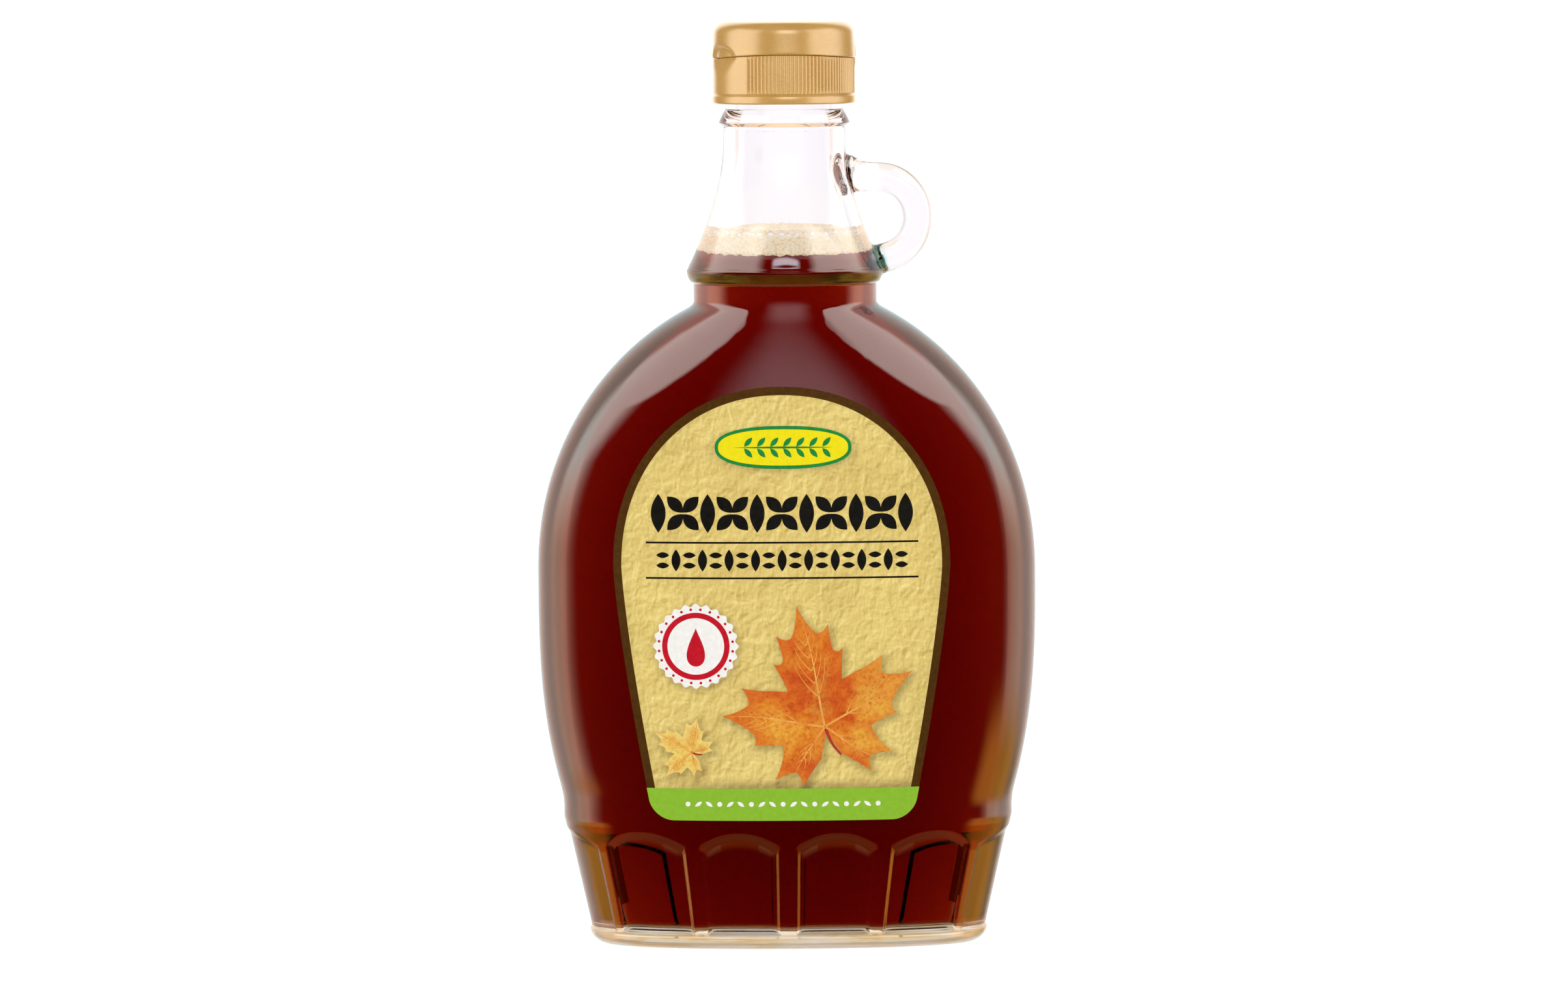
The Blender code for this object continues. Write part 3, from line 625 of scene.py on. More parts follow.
def leaf_material(name, stops, rim):
    s = Shader(name)
    base = s.ramp(s.noise(85.0, 3.0, 0.6, distort=0.5), stops)
    # the right-hand lobes have turned yellow
    across = s.nodes.new("ShaderNodeSeparateXYZ")
    s.links.new(s.coords(), across.inputs[0])
    turned = s.math("ADD", s.map_range(across.outputs["X"], 0.012, 0.03, 0.0, 1.0),
                    s.math("MULTIPLY", s.math("SUBTRACT", s.noise(210.0, 3.0), 0.5), 1.6))
    base = s.mix(s.math("MULTIPLY", turned, 0.8, clamp=True), base, lin(244, 206, 84))
    mottled = s.ramp(s.noise(1100.0, 4.0, 0.7), [(0.36, lin(222, 172, 120)), (0.56, (1.0, 1.0, 1.0))])
    colour = s.mix(0.7, base, mottled, "MULTIPLY")
    spots = s.math("LESS_THAN", s.cells(620.0), 0.16)
    colour = s.mix(s.math("MULTIPLY", spots, 0.5), colour, lin(176, 52, 26))
    edge = s.nodes.new("ShaderNodeVertexColor")
    edge.layer_name = "edge"
    colour = s.mix(s.math("MULTIPLY", edge.outputs["Color"], s.noise(160.0, 2.0)), colour, rim)
    s.link(colour, "Base Color")
    s.set(Roughness=0.45, Specular_IOR_Level=0.08)
    s.bump(s.noise(1300.0, 3.0), 0.15, 0.00008)
    return s.mat


# ---- bottle: glass ---------------------------------------------------------------
def share_angle(share, p):
    return math.atan((share ** -p - 1.0) ** (1.0 / p))


Z_MID = 0.5 * (FLUTE_Z0 + FLUTE_SPRING_Z)


def arc_speed(q):
    """Millimetres along the skirt for each radian at angle q."""
    d = surface(outer_section, np.array(q + 0.005), np.array(Z_MID)) - surface(
        outer_section, np.array(q - 0.005), np.array(Z_MID))
    return float(np.linalg.norm(d)) / 0.01


def flute_list():
    """(start, end, depth) of each flute in the first quadrant; the side flute spans q = 0."""
    edge = share_angle(SIDE_FLUTE_EDGE, FOOT_P)
    out = [(-edge, edge, SIDE_FLUTE_DEPTH)]
    for lo, hi in reversed(FLUTE_EDGES):
        out.append((share_angle(hi, FOOT_P), share_angle(lo, FOOT_P), FLUTE_DEPTH))
    return out


FLUTES = flute_list()


def bevel_profile(r, e=0.24):
    r = np.clip(r, 0.0, 1.0)
    m = 1.0 / (1.0 - e)
    return np.where(r < e, m * r * r / (2 * e),
                    np.where(r > 1 - e, 1.0 - m * (1 - r) ** 2 / (2 * e), m * (r - e / 2)))


def to_quadrant(t):
    return np.arccos(np.clip(np.abs(np.cos(t)), 0.0, 1.0))


def flute_terms(q, flute):
    q0, q1, _ = flute
    mid, half = 0.5 * (q0 + q1), 0.5 * (q1 - q0)
    s = np.clip(np.abs(q - mid) / half, 0.0, 1.0)
    slope = FLUTE_RISE * 2.3 * s ** 1.3 / (half * arc_speed(mid))
    return s, np.sqrt(1.0 + slope * slope)


def flute_recess(t, z):
    q = to_quadrant(t)
    total = np.zeros(np.broadcast(q, z).shape)
    for flute in FLUTES:
        q0, q1, depth = flute
        s, stretch = flute_terms(q, flute)
        side = np.minimum((q - q0) * arc_speed(q0), (q1 - q) * arc_speed(q1)) / FLUTE_BEVEL_SIDE
        top = (FLUTE_SPRING_Z + FLUTE_RISE * (1.0 - s ** 2.3) - z) / stretch / FLUTE_BEVEL_TOP
        foot = (z - FLUTE_Z0) / FLUTE_BEVEL_FOOT
        total = total + depth * bevel_profile(np.minimum(np.minimum(side, top), foot))
    return total


def quadrant_columns():
    (_, edge, _), flute_a, flute_b = FLUTES
    lip = edge - FLUTE_BEVEL_SIDE / arc_speed(edge)
    q = spread(0.0, lip, 7) + spread(lip, edge, 6) + spread(edge, flute_a[0], 3)
    for flute, after in ((flute_a, flute_b[0]), (flute_b, 0.5 * PI)):
        l0 = flute[0] + FLUTE_BEVEL_SIDE / arc_speed(flute[0])
        l1 = flute[1] - FLUTE_BEVEL_SIDE / arc_speed(flute[1])
        q += spread(flute[0], l0, 6) + spread(l0, l1, 13) + spread(l1, flute[1], 6)
        q += spread(flute[1], after, 3 if after < 1.5 else 2)
    return q


def all_columns():
    q = quadrant_columns() + [0.5 * PI]
    t = list(q)
    t += [PI - v for v in reversed(q[:-1])]
    t += [PI + v for v in q[1:]]
    t += [2.0 * PI - v for v in reversed(q[1:-1])]
    return np.array(t)


COLS = all_columns()


def skirt_rows():
    """Heights of each row of the skirt, one per column; the upper rows follow the arches."""
    q = to_quadrant(COLS)
    lift, stretch = np.zeros_like(q), np.full_like(q, 1.25)
    for flute in FLUTES:
        inside = (q >= flute[0] - 1e-9) & (q <= flute[1] + 1e-9)
        s, st = flute_terms(q, flute)
        lift = np.where(inside, FLUTE_RISE * (1.0 - s ** 2.3), lift)
        stretch = np.where(inside, st, stretch)
    crown = FLUTE_SPRING_Z + lift
    face_top = crown - FLUTE_BEVEL_TOP * stretch
    rows = [FLUTE_Z0 + FLUTE_BEVEL_FOOT * k / 5.0 + 0 * q for k in range(5)]
    low = FLUTE_Z0 + FLUTE_BEVEL_FOOT
    rows += [low + (face_top - low) * k / 9.0 for k in range(9)]
    rows += [face_top + (crown - face_top) * k / 8.0 for k in range(8)]
    rows += [crown + (27.0 - crown) * k / 4.0 for k in range(4)]
    return rows


outer_rows = [HEEL_R * (1.0 - math.cos(math.radians(a))) + 0 * COLS for a in (0, 12, 24, 36, 48, 60, 70, 80, 90)]
outer_rows = [np.clip(r, 0.0, None) for r in outer_rows]
outer_rows += [3.08 + 0 * COLS] + skirt_rows()
plain = [27.0, 27.18, 27.35, 27.55, 27.8, 28.1, 28.45, 28.8, 29.2, 29.7, 30.3, 31.0, 32.0, 33.2, 34.6]
plain += spread(36.2, 138.0, 50) + spread(138.0, 143.0, 8) + spread(143.0, 148.2, 17) + spread(148.2, 153.4, 22)
plain += spread(153.4, 179.0, 28) + spread(179.0, 182.4, 4) + spread(182.4, 187.8, 30)
plain += spread(187.8, 196.6, 6)
outer_rows += [z + 0 * COLS for z in plain]


def outer_surface(t, z):
    base = surface(outer_section, t, z)
    n = surface_normal(outer_section, t, np.maximum(z, 0.1))
    push = -flute_recess(t, z)
    # fine parting line of the neck mould just under the bead
    rough = 0.55 + 0.45 * np.sin(23 * t + 2.0 * np.sin(7 * t)) * np.sin(41 * t + 1.3)
    push = push + 0.07 * rough * np.exp(-((z - 182.95) / 0.13) ** 2)
    push = push + 0.05 * (ripple(t, z, 11) - 1.1) * ease((z - 34.0) / 10.0) * (1.0 - ease((z - 138.0) / 8.0))
    return base + n * push[..., None]


verts, faces = [], []
count = len(COLS)


def add_ring(points):
    start = len(verts)
    verts.extend(points.tolist())
    return start


contact_a, contact_b, contact_p = (float(v) for v in outer_section(0.0))
flat_a, flat_b = contact_a - BEARING_W, contact_b - BEARING_W


def underside(share, z):
    x, y = section_xy(flat_a * share, flat_b * share, contact_p, COLS)
    return np.stack([x, y, z + 0 * x], -1)


verts.append([0.0, 0.0, PUNT])
under = [(0.15, 0.995), (0.35, 0.93), (0.55, 0.78), (0.72, 0.56), (0.85, 0.32), (0.94, 0.12), (0.985, 0.02), (1.0, 0.0)]
first = None
for share, h in under:
    at = add_ring(underside(share, PUNT * h))
    first = at if first is None else first
for inset in (0.7, 0.3):
    x, y = section_xy(contact_a - BEARING_W * inset, contact_b - BEARING_W * inset, contact_p, COLS)
    add_ring(np.stack([x, y, 0 * x], -1))
for z in outer_rows:
    add_ring(outer_surface(COLS, z))
lip_r = 0.7
for k in range(1, 5):
    ang = 0.5 * PI * k / 4
    r = FINISH_R - lip_r + lip_r * math.cos(ang)
    add_ring(np.stack([r * np.cos(COLS), r * np.sin(COLS), MOUTH_Z - lip_r + lip_r * math.sin(ang) + 0 * COLS], -1))
rows_out = (len(verts) - 1) // count
faces += fan(0, [first + i for i in range(count)], flip=True)
faces += grid_faces(first, rows_out, count)
last_outer = len(verts) - count

# inside wall
IN_COUNT = 176
INNER_T = np.arange(IN_COUNT) * 2.0 * PI / IN_COUNT
inner_start = len(verts)
for k in range(0, 4):
    ang = 0.5 * PI * (1.0 - k / 4)
    r = BORE_R + lip_r - lip_r * math.cos(ang)
    add_ring(np.stack([r * np.cos(INNER_T), r * np.sin(INNER_T), MOUTH_Z - lip_r + lip_r * math.sin(ang) + 0 * INNER_T], -1))
WET_Z = [4.64, 4.72, 4.86, 5.08, 5.38, 5.76, 6.2, 6.75, 7.4, 8.3, 9.8, 11.8] + spread(14.0, 110.0, 34) \
    + spread(110.0, 132.0, 12) + spread(132.0, 150.0, 22) + spread(150.0, 154.9, 4)
inner_z = spread(MOUTH_Z - lip_r, 182.0, 5) + spread(182.0, 162.0, 14) + spread(162.0, 154.9, 7)
inner_z += list(reversed(WET_Z))[0:]
inner_z = sorted(set(round(v, 4) for v in inner_z), reverse=True)
for z in inner_z:
    add_ring(inner_point(INNER_T, z + 0 * INNER_T))
floor_a, floor_b, floor_p = (float(v) for v in inner_section(WET_Z[0]))


def cavity_floor(share):
    x, y = section_xy(floor_a * share, floor_b * share, floor_p, INNER_T)
    return np.stack([x, y, WET_Z[0] - 0.04 + 0.55 * (1.0 - share ** 2) + 0 * x], -1)


for share in (0.93, 0.8, 0.6, 0.4, 0.2):
    add_ring(cavity_floor(share))
rows_in = (len(verts) - inner_start) // IN_COUNT
faces += grid_faces(inner_start, rows_in, IN_COUNT)
faces += [tuple(f) for f in zip_rings([(t, last_outer + i) for i, t in enumerate(COLS)],
                                      [(t, inner_start + i) for i, t in enumerate(INNER_T)])]
verts.append([0.0, 0.0, WET_Z[0] - 0.04 + 0.57])
faces += fan(len(verts) - 1, [len(verts) - 1 - IN_COUNT + i for i in range(IN_COUNT)])

glass, wetted_glass = glass_material("clear_flask_glass"), glass_material("wetted_flask_glass", "wetted")
olive_glass, deep_glass = glass_material("ring_hollow_glass", "olive"), glass_material("end_bevel_glass", "deep")
flask_mats = (glass, wetted_glass, olive_glass, deep_glass, glass_material("handle_foot_glass", "root"),
              glass_material("arch_bevel_glass", "arch"), glass_material("foot_glass", "foot"))
shell_mesh = bpy.data.meshes.new("flask_shell")
shell_mesh.from_pydata([tuple(v) for v in np.asarray(verts) * MM], [], faces)
shell_mesh.validate()


# ring handle, swept along its path and joined to the neck
def handle_path():
    cx, cz = HANDLE_CENTRE
    rx, rz = HANDLE_RADIUS
    points = [(13.0, cz + rz + 0.75, 1.5), (14.6, cz + rz + 0.55, 1.34), (16.2, cz + rz + 0.3, 1.14),
              (18.2, cz + rz + 0.12, 1.03)]
    for i in range(15):
        ang = math.radians(88.0 - 160.0 * i / 14)
        points.append((cx + rx * math.cos(ang), cz + rz * math.sin(ang), 1.0))
    points += [(21.4, cz - rz - 0.4, 1.06), (18.9, cz - rz - 0.75, 1.16)]
    return points


def through(points, per_span):
    """Catmull-Rom curve through the points."""
    pts = np.array([points[0]] + list(points) + [points[-1]], float)
    out = []
    for i in range(len(points) - 1):
        p0, p1, p2, p3 = pts[i:i + 4]
        for k in range(per_span):
            u = k / per_span
            out.append(0.5 * (2 * p1 + (p2 - p0) * u + (2 * p0 - 5 * p1 + 4 * p2 - p3) * u * u
                              + (3 * p1 - p0 - 3 * p2 + p3) * u ** 3))
    out.append(pts[-2])
    return np.array(out)


track = through(handle_path(), 4)
SIDES = 32
hv, hf = [], []
for i, (x, z, share) in enumerate(track):
    ahead = track[min(i + 1, len(track) - 1)][:2] - track[max(i - 1, 0)][:2]
    ahead /= np.linalg.norm(ahead)
    side = np.array([-ahead[1], ahead[0]])
    for k in range(SIDES):
        ang = 2.0 * PI * k / SIDES
        r = HANDLE_R * share
        hv.append([x + side[0] * r * math.cos(ang), r * math.sin(ang), z + side[1] * r * math.cos(ang)])
for i in range(len(track) - 1):
    for k in range(SIDES):
        m = (k + 1) % SIDES
        hf.append((i * SIDES + k, i * SIDES + m, (i + 1) * SIDES + m, (i + 1) * SIDES + k))
hf.append(tuple(range(SIDES))[::-1])
hf.append(tuple((len(track) - 1) * SIDES + k for k in range(SIDES)))
rod_mesh = bpy.data.meshes.new("handle_rod")
rod_mesh.from_pydata([tuple(v) for v in np.asarray(hv) * MM], [], hf)
bm = bmesh.new()
bm.from_mesh(rod_mesh)
bmesh.ops.recalc_face_normals(bm, faces=bm.faces)
bm.to_mesh(rod_mesh)
bm.free()

marker = bpy.data.materials.new("rod_marker")
for mat in flask_mats:
    shell_mesh.materials.append(mat)
heights = np.asarray(verts)[:, 2]
BEVEL_Q = (FLUTES[1][0] - 1e-6, FLUTES[1][0] + 2.2 * FLUTE_BEVEL_SIDE / arc_speed(FLUTES[1][0]))
# slots with painted shade and light: 2 the olive band under the ring, 3 the dark end bevels, 5 the amber arch
# reflection, 6 the foot glow
for poly in shell_mesh.polygons:
    ring = list(poly.vertices)
    z_low, z_high = heights[ring].min(), heights[ring].max()
    if min(ring) >= inner_start:
        if z_high < SYRUP_TOP_Z + 0.12:
            poly.material_index = 1
    elif min(ring) > 0 and max(ring) < last_outer:
        q = to_quadrant(COLS[[(v - 1) % count for v in ring]])
        if z_low > 148.75 and z_high < 151.15:
            poly.material_index = 2
        elif q.min() > BEVEL_Q[0] and q.max() < BEVEL_Q[1] and z_low > 9.6 and z_high < 23.5:
            poly.material_index = 3
        elif z_low > 21.6 and z_high < 27.4:
            poly.material_index = 5
        elif z_high < 4.8:
            poly.material_index = 6
rod_mesh.materials.append(marker)
shell = bpy.data.objects.new("flask_shell", shell_mesh)
rod = bpy.data.objects.new("handle_rod", rod_mesh)
for obj in (shell, rod):
    looks.objects.link(obj)
union = shell.modifiers.new("join", "BOOLEAN")
union.operation = "UNION"
union.object = rod
union.solver = "EXACT"
union.material_mode = "TRANSFER"
bpy.context.view_layer.update()
joined = bpy.data.meshes.new_from_object(shell.evaluated_get(bpy.context.evaluated_depsgraph_get()))
for obj in (shell, rod):
    bpy.data.objects.remove(obj, do_unlink=True)

# soften the crease where the handle meets the neck
rod_index = [m.name for m in joined.materials].index(marker.name)
bm = bmesh.new()
bm.from_mesh(joined)
bm.verts.ensure_lookup_table()
crease = {v for e in bm.edges if len({f.material_index == rod_index for f in e.link_faces}) > 1 for v in e.verts}
if crease:
    points = np.array([v.co[:] for v in crease])
    near = []
    for v in bm.verts:
        if v.co.x > 0.012 and 0.147 < v.co.z < 0.180 and abs(v.co.y) < 0.009:
            d = np.sqrt(((points - np.array(v.co[:])) ** 2).sum(1)).min()
            if d < 0.0013:
                near.append(v)
    tri = [f for f in {f for v in near for f in v.link_faces} if len(f.verts) > 4]
    if tri:
        bmesh.ops.triangulate(bm, faces=tri)
    near = [v for v in near if v.is_valid]
    for _ in range(9):
        bmesh.ops.smooth_vert(bm, verts=near, factor=0.5, use_axis_x=True, use_axis_y=True, use_axis_z=True)
for f in bm.faces:
    if f.material_index == rod_index:
        f.material_index = 0
    # painted light: faces at the handle's foot take the painted green copy of the glass
    spot = f.calc_center_median()
    if spot.x > 0.0185 and 0.1503 < spot.z < 0.158 and abs(spot.y) < 0.005:
        if np.sqrt(((points - np.array(spot[:])) ** 2).sum(1)).min() < 0.00085:
            f.material_index = 4
    f.smooth = True
bm.to_mesh(joined)
bm.free()
bottle = finish_piece("flask_glass", joined, flask_mats, ("bottle",), smooth=True)

# ---- syrup ------------------------------------------------------------------------
BITE = 0.15      # how far what fills the glass reaches into the wall
SURFACE_Z = SYRUP_TOP_Z + 0.1
sv, sf = [], []
wet = [z for z in WET_Z if z < SURFACE_Z - 0.3]
share_rows = [0.2, 0.4, 0.6, 0.8, 0.93]
sv.append([0.0, 0.0, WET_Z[0] - 0.04 + 0.57 - BITE])
for share in share_rows:
    ring = cavity_floor(share)
    ring[:, 2] -= BITE
    sv.extend(ring.tolist())
for z in wet:
    sv.extend(inner_point(INNER_T, z + 0 * INNER_T, BITE + 0 * INNER_T).tolist())
top_ring = inner_point(INNER_T, SURFACE_Z + 0 * INNER_T, BITE + 0 * INNER_T)
sv.extend(top_ring.tolist())
for share in (0.9, 0.6, 0.3):
    ring = top_ring.copy()
    ring[:, :2] *= share
    ring[:, 2] = SURFACE_Z
    sv.extend(ring.tolist())
sv.append([0.0, 0.0, SURFACE_Z])
rows_s = (len(sv) - 2) // IN_COUNT
sf += fan(0, [1 + i for i in range(IN_COUNT)], flip=True)
sf += grid_faces(1, rows_s, IN_COUNT)
sf += fan(len(sv) - 1, [1 + (rows_s - 1) * IN_COUNT + i for i in range(IN_COUNT)])
syrup = make_piece("syrup_fill", sv, sf, syrup_material(), ("syrup",), sharp=40)

# ---- foam -------------------------------------------------------------------------
rng = random.Random(21)
F_COUNT = 260
FT = np.arange(F_COUNT) * 2.0 * PI / F_COUNT


def hum(t, seed, waves=9, low=3, high=46):
    r = random.Random(seed)
    total = 0.0 * t
    for _ in range(waves):
        total = total + np.sin(r.randint(low, high) * t + r.uniform(0, 6.28)) / math.sqrt(waves)
    return total


foam_low = SYRUP_TOP_Z - 0.25 + 0.14 * hum(FT, 3) + 0.08 * hum(FT, 4, 6, 60, 120)
foam_high = FOAM_TOP_Z - 0.15 + 0.1 * hum(FT, 5)
fv, ff = [], []
fv.append([0.0, 0.0, SYRUP_TOP_Z - 0.1])
for share in (0.3, 0.7, 0.95):
    r = inner_section(foam_low)[0] * share
    fv.extend(np.stack([r * np.cos(FT), r * np.sin(FT), foam_low * share + (SYRUP_TOP_Z - 0.1) * (1 - share)], -1).tolist())
for k in range(15):
    z = foam_low + (foam_high - foam_low) * k / 14
    r = inner_section(z)[0] + 0.12
    fv.extend(np.stack([r * np.cos(FT), r * np.sin(FT), z], -1).tolist())
for share in (0.97, 0.92, 0.84, 0.72, 0.56, 0.38, 0.2):
    r = inner_section(foam_high)[0] * share
    z = foam_high - 0.35 * (1.0 - share) + 0.12 * hum(FT * 1.0, int(share * 100), 8, 3, 30) * min(1.0, (1.0 - share) * 6)
    fv.extend(np.stack([r * np.cos(FT), r * np.sin(FT), z], -1).tolist())
fv.append([0.0, 0.0, FOAM_TOP_Z - 0.5])
rows_f = (len(fv) - 2) // F_COUNT
ff += fan(0, [1 + i for i in range(F_COUNT)], flip=True)
ff += grid_faces(1, rows_f, F_COUNT)
ff += fan(len(fv) - 1, [1 + (rows_f - 1) * F_COUNT + i for i in range(F_COUNT)])
foam = make_piece("foam_layer", fv, ff, foam_material(), ("foam",), sharp=50)


def ball(detail):
    bm = bmesh.new()
    bmesh.ops.create_icosphere(bm, subdivisions=detail, radius=1.0)
    v = np.array([q.co[:] for q in bm.verts])
    f = [tuple(q.index for q in face.verts) for face in bm.faces]
    bm.free()
    return v, f


ball_fine, ball_coarse = ball(3), ball(2)
bv, bf, film = [], [], []


def add_bubble(x, y, z, r, squash=1.0, fine=False, out=(0.0, 0.0, 1.0)):
    v, f = ball_fine if fine else ball_coarse
    base = len(bv)
    bv.extend((v * np.array([r, r, r * squash]) + np.array([x, y, z])).tolist())
    bf.extend([tuple(base + i for i in face) for face in f])
    # painted shade: each bubble stays clear in the middle of its dome and is painted brown in the crease round it
    film.extend(ease((v @ np.array(out) - 0.4) / 0.17).tolist())


def wall_bubble(ang, z, r, fine=False):
    reach = float(inner_section(np.array(z))[0]) + 0.16 - r * 0.55
    add_bubble(reach * math.cos(ang), reach * math.sin(ang), z, r, rng.uniform(0.86, 1.0), fine,
               (math.cos(ang), math.sin(ang), 0.0))


for ang, r in ((-0.355, 0.86), (-0.2, 0.88), (-0.045, 0.84)):
    wall_bubble(-0.5 * PI + ang, FOAM_TOP_Z - 1.3, r, True)
placed = []
for _ in range(1500):
    ang = rng.uniform(0.0, 2.0 * PI)
    off = (ang + 0.5 * PI + PI) % (2 * PI) - PI
    r = rng.choice((0.24, 0.3, 0.38, 0.48, 0.55, 0.62, 0.68))
    z = FOAM_TOP_Z - 0.45 - r * 0.9 - abs(rng.gauss(0.0, 0.65)) * (1.2 - r)
    if z < FOAM_TOP_Z - 2.9 or (-0.44 < off < 0.05 and z > FOAM_TOP_Z - 2.5):
        continue
    gap_ok = all(((ang - a + PI) % (2 * PI) - PI) ** 2 * 200.0 + (z - zz) ** 2 > (0.82 * (r + rr)) ** 2
                 for a, zz, rr in placed)
    if gap_ok:
        placed.append((ang, z, r))
        wall_bubble(ang, z, r, r > 0.45)
for _ in range(110):
    ang, reach = rng.uniform(0.0, 2.0 * PI), 13.6 * math.sqrt(rng.random())
    r = rng.choice((0.3, 0.4, 0.5, 0.6))
    add_bubble(reach * math.cos(ang), reach * math.sin(ang), FOAM_TOP_Z - 0.5 - 0.45 * r, r, 0.8)
bubbles = make_piece("foam_large_bubbles", bv, bf, bubble_material(), ())
film = np.array(film)[:, None]
tint = bubbles.data.color_attributes.new("film", "FLOAT_COLOR", "POINT")
film = np.array(lin(172, 130, 84)) * (1.0 - film) + film
tint.data.foreach_set("color", np.concatenate([film, np.ones((len(film), 1))], 1).reshape(-1).astype(np.float32))

# ---- cap ----------------------------------------------------------------------------
RIBS = 110
THUMB_T = math.radians(205.5)        # where the lid is pushed up; the film hinge is opposite
PANEL_HALF = math.radians(32.5)      # smooth panel either side of the thumb recess


def turn_from(t, middle):
    """Angle from the middle, -pi to pi."""
    return (t - middle + PI) % (2.0 * PI) - PI


def seam_z(t):
    return CAP_SEAM_Z - 0.1 + 0.85 * np.sin(t) ** 2


def thumb_dip(t, z):
    u = turn_from(t, THUMB_T) / math.radians(24.5)
    middle = CAP_SEAM_Z - 0.1
    v = (z - middle) / np.where(z > middle, 3.4, 3.6)
    rho = np.sqrt(u * u + v * v)
    return 0.75 * bevel_profile((1.0 - rho) * np.where(z > middle, 2.4, 1.1), 0.4)


def hinge_swell(t, z):
    u = turn_from(t, THUMB_T - PI) / math.radians(19.0)
    v = (z - CAP_SEAM_Z - 0.3) / 4.5
    flat = 1.0 - np.clip(np.abs(u), 0.0, 1.0) ** 6
    return 0.62 * flat * np.clip((1.0 - np.abs(v)) * 1.7, 0.0, 1.0)


CAP_COLS = RIBS * 8
CT = np.arange(CAP_COLS) * 2.0 * PI / CAP_COLS


def rib_mask(t):
    off = np.abs(turn_from(t, THUMB_T))
    hinge = np.abs(turn_from(t, THUMB_T - PI))
    return ease((off - PANEL_HALF) / 0.02) * ease((hinge - math.radians(19.5)) / 0.02)


def collar_ring(r0, z, ribs=0.0, ceiling=None):
    z = z + 0 * CT if ceiling is None else ceiling
    wave = np.abs(np.cos(0.5 * RIBS * CT)) ** 0.9
    mask = rib_mask(CT)
    r = r0 - ribs * mask * (0.24 * (1.0 - wave) + 0.04) - thumb_dip(CT, z) + hinge_swell(CT, z)
    return np.stack([r * np.cos(CT), r * np.sin(CT), z], -1)


def round_piece(name, ring_list, mat, replaces, columns, ends, sharp):
    vs = [[0.0, 0.0, ends[0]]]
    for ring in ring_list:
        vs.extend(ring.tolist())
    vs.append([0.0, 0.0, ends[1]])
    fs = fan(0, [1 + i for i in range(columns)], flip=True)
    fs += grid_faces(1, len(ring_list), columns)
    fs += fan(len(vs) - 1, [1 + (len(ring_list) - 1) * columns + i for i in range(columns)])
    return make_piece(name, vs, fs, mat, replaces, sharp=sharp)


def plain_ring(r, z):
    return np.stack([r * np.cos(CT), r * np.sin(CT), z + 0 * CT], -1)


top_edge = seam_z(CT) - 0.05
collar_rings = [plain_ring(CAP_BORE_R, 197.4), plain_ring(CAP_BORE_R, CAP_BOTTOM_Z + 0.3),
                plain_ring(CAP_BORE_R + 0.25, CAP_BOTTOM_Z), plain_ring(CAP_R - 0.35, CAP_BOTTOM_Z)]
for r, z in ((CAP_R - 0.14, CAP_BOTTOM_Z + 0.08), (CAP_R - 0.03, CAP_BOTTOM_Z + 0.28), (CAP_R + 0.01, CAP_BOTTOM_Z + 0.6),
             (CAP_R, 189.9), (CAP_R - 0.03, 190.35), (CAP_R - 0.12, 190.6), (CAP_R - 0.26, 190.72),
             (CAP_R - 0.34, 190.84), (CAP_R - 0.27, 190.98)):
    collar_rings.append(collar_ring(r, z))
for z, ribs in ((191.12, 0.0), (191.2, 0.75), (191.32, 1.0)):
    collar_rings.append(collar_ring(CAP_R - 0.17, z, ribs))
for k in range(1, 12):
    collar_rings.append(collar_ring(CAP_R - 0.17, 0.0, 1.0, 191.32 + (top_edge - 0.12 - 191.32) * k / 11))
collar_rings.append(collar_ring(CAP_R - 0.3, 0.0, 1.0, top_edge))
collar_rings.append(collar_ring(CAP_R - 1.2, 0.0, 0.0, top_edge))
gold, bore = gold_material("gold_collar_plastic"), bore_material()
collar = round_piece("cap_collar_ribbed", collar_rings, (gold, bore), ("cap_collar",), CAP_COLS,
                     (197.4, CAP_SEAM_Z - 0.1), 42)
# painted glow: the bore faces inside the cap take the glowing material
for poly in collar.data.polygons:
    if all(math.hypot(*collar.data.vertices[v].co[:2]) < (CAP_BORE_R + 0.1) * MM and
           collar.data.vertices[v].co[2] < 198.0 * MM for v in poly.vertices):
        poly.material_index = 1

LID_COLS = 320
CT = np.arange(LID_COLS) * 2.0 * PI / LID_COLS
low_edge = seam_z(CT) + 0.05


def lid_ring(r, z):
    z = z + 0 * CT
    rr = r - thumb_dip(CT, z) + hinge_swell(CT, z)
    # a shallow round dimple in the side
    dimple = ((CT + math.radians(60.5) + PI) % (2.0 * PI) - PI) * 16.0
    rr = rr - 0.10 * np.exp(-((dimple / 0.75) ** 2 + ((z - 203.9) / 0.6) ** 2))
    return np.stack([rr * np.cos(CT), rr * np.sin(CT), z], -1)


lid_rings = [plain_ring(CAP_R - 1.4, CAP_SEAM_Z + 0.25), lid_ring(CAP_R - 0.42, low_edge), lid_ring(CAP_R - 0.2, low_edge + 0.02),
             lid_ring(CAP_R - 0.08, low_edge + 0.14), lid_ring(CAP_R - 0.05, low_edge + 0.34)]
lid_rings[0][:, 2] = low_edge
side_top = CAP_TOP_Z - 0.25 - CAP_CORNER
for k in range(1, 15):
    u = k / 14
    lid_rings.append(lid_ring(CAP_R - 0.05 + (CAP_TOP_R - CAP_R + 0.05) * u, (low_edge + 0.34) * (1 - u) + side_top * u))
for k in range(1, 13):
    ang = 0.5 * PI * k / 12
    lid_rings.append(lid_ring(CAP_TOP_R - CAP_CORNER * 1.1 * (1.0 - math.cos(ang)), side_top + CAP_CORNER * math.sin(ang)))
edge_r = CAP_TOP_R - CAP_CORNER * 1.1
for k in range(1, 12):
    u = k / 12
    lid_rings.append(plain_ring(edge_r * (1.0 - u), CAP_TOP_Z - 0.25 + 0.22 * math.sin(0.5 * PI * u)))
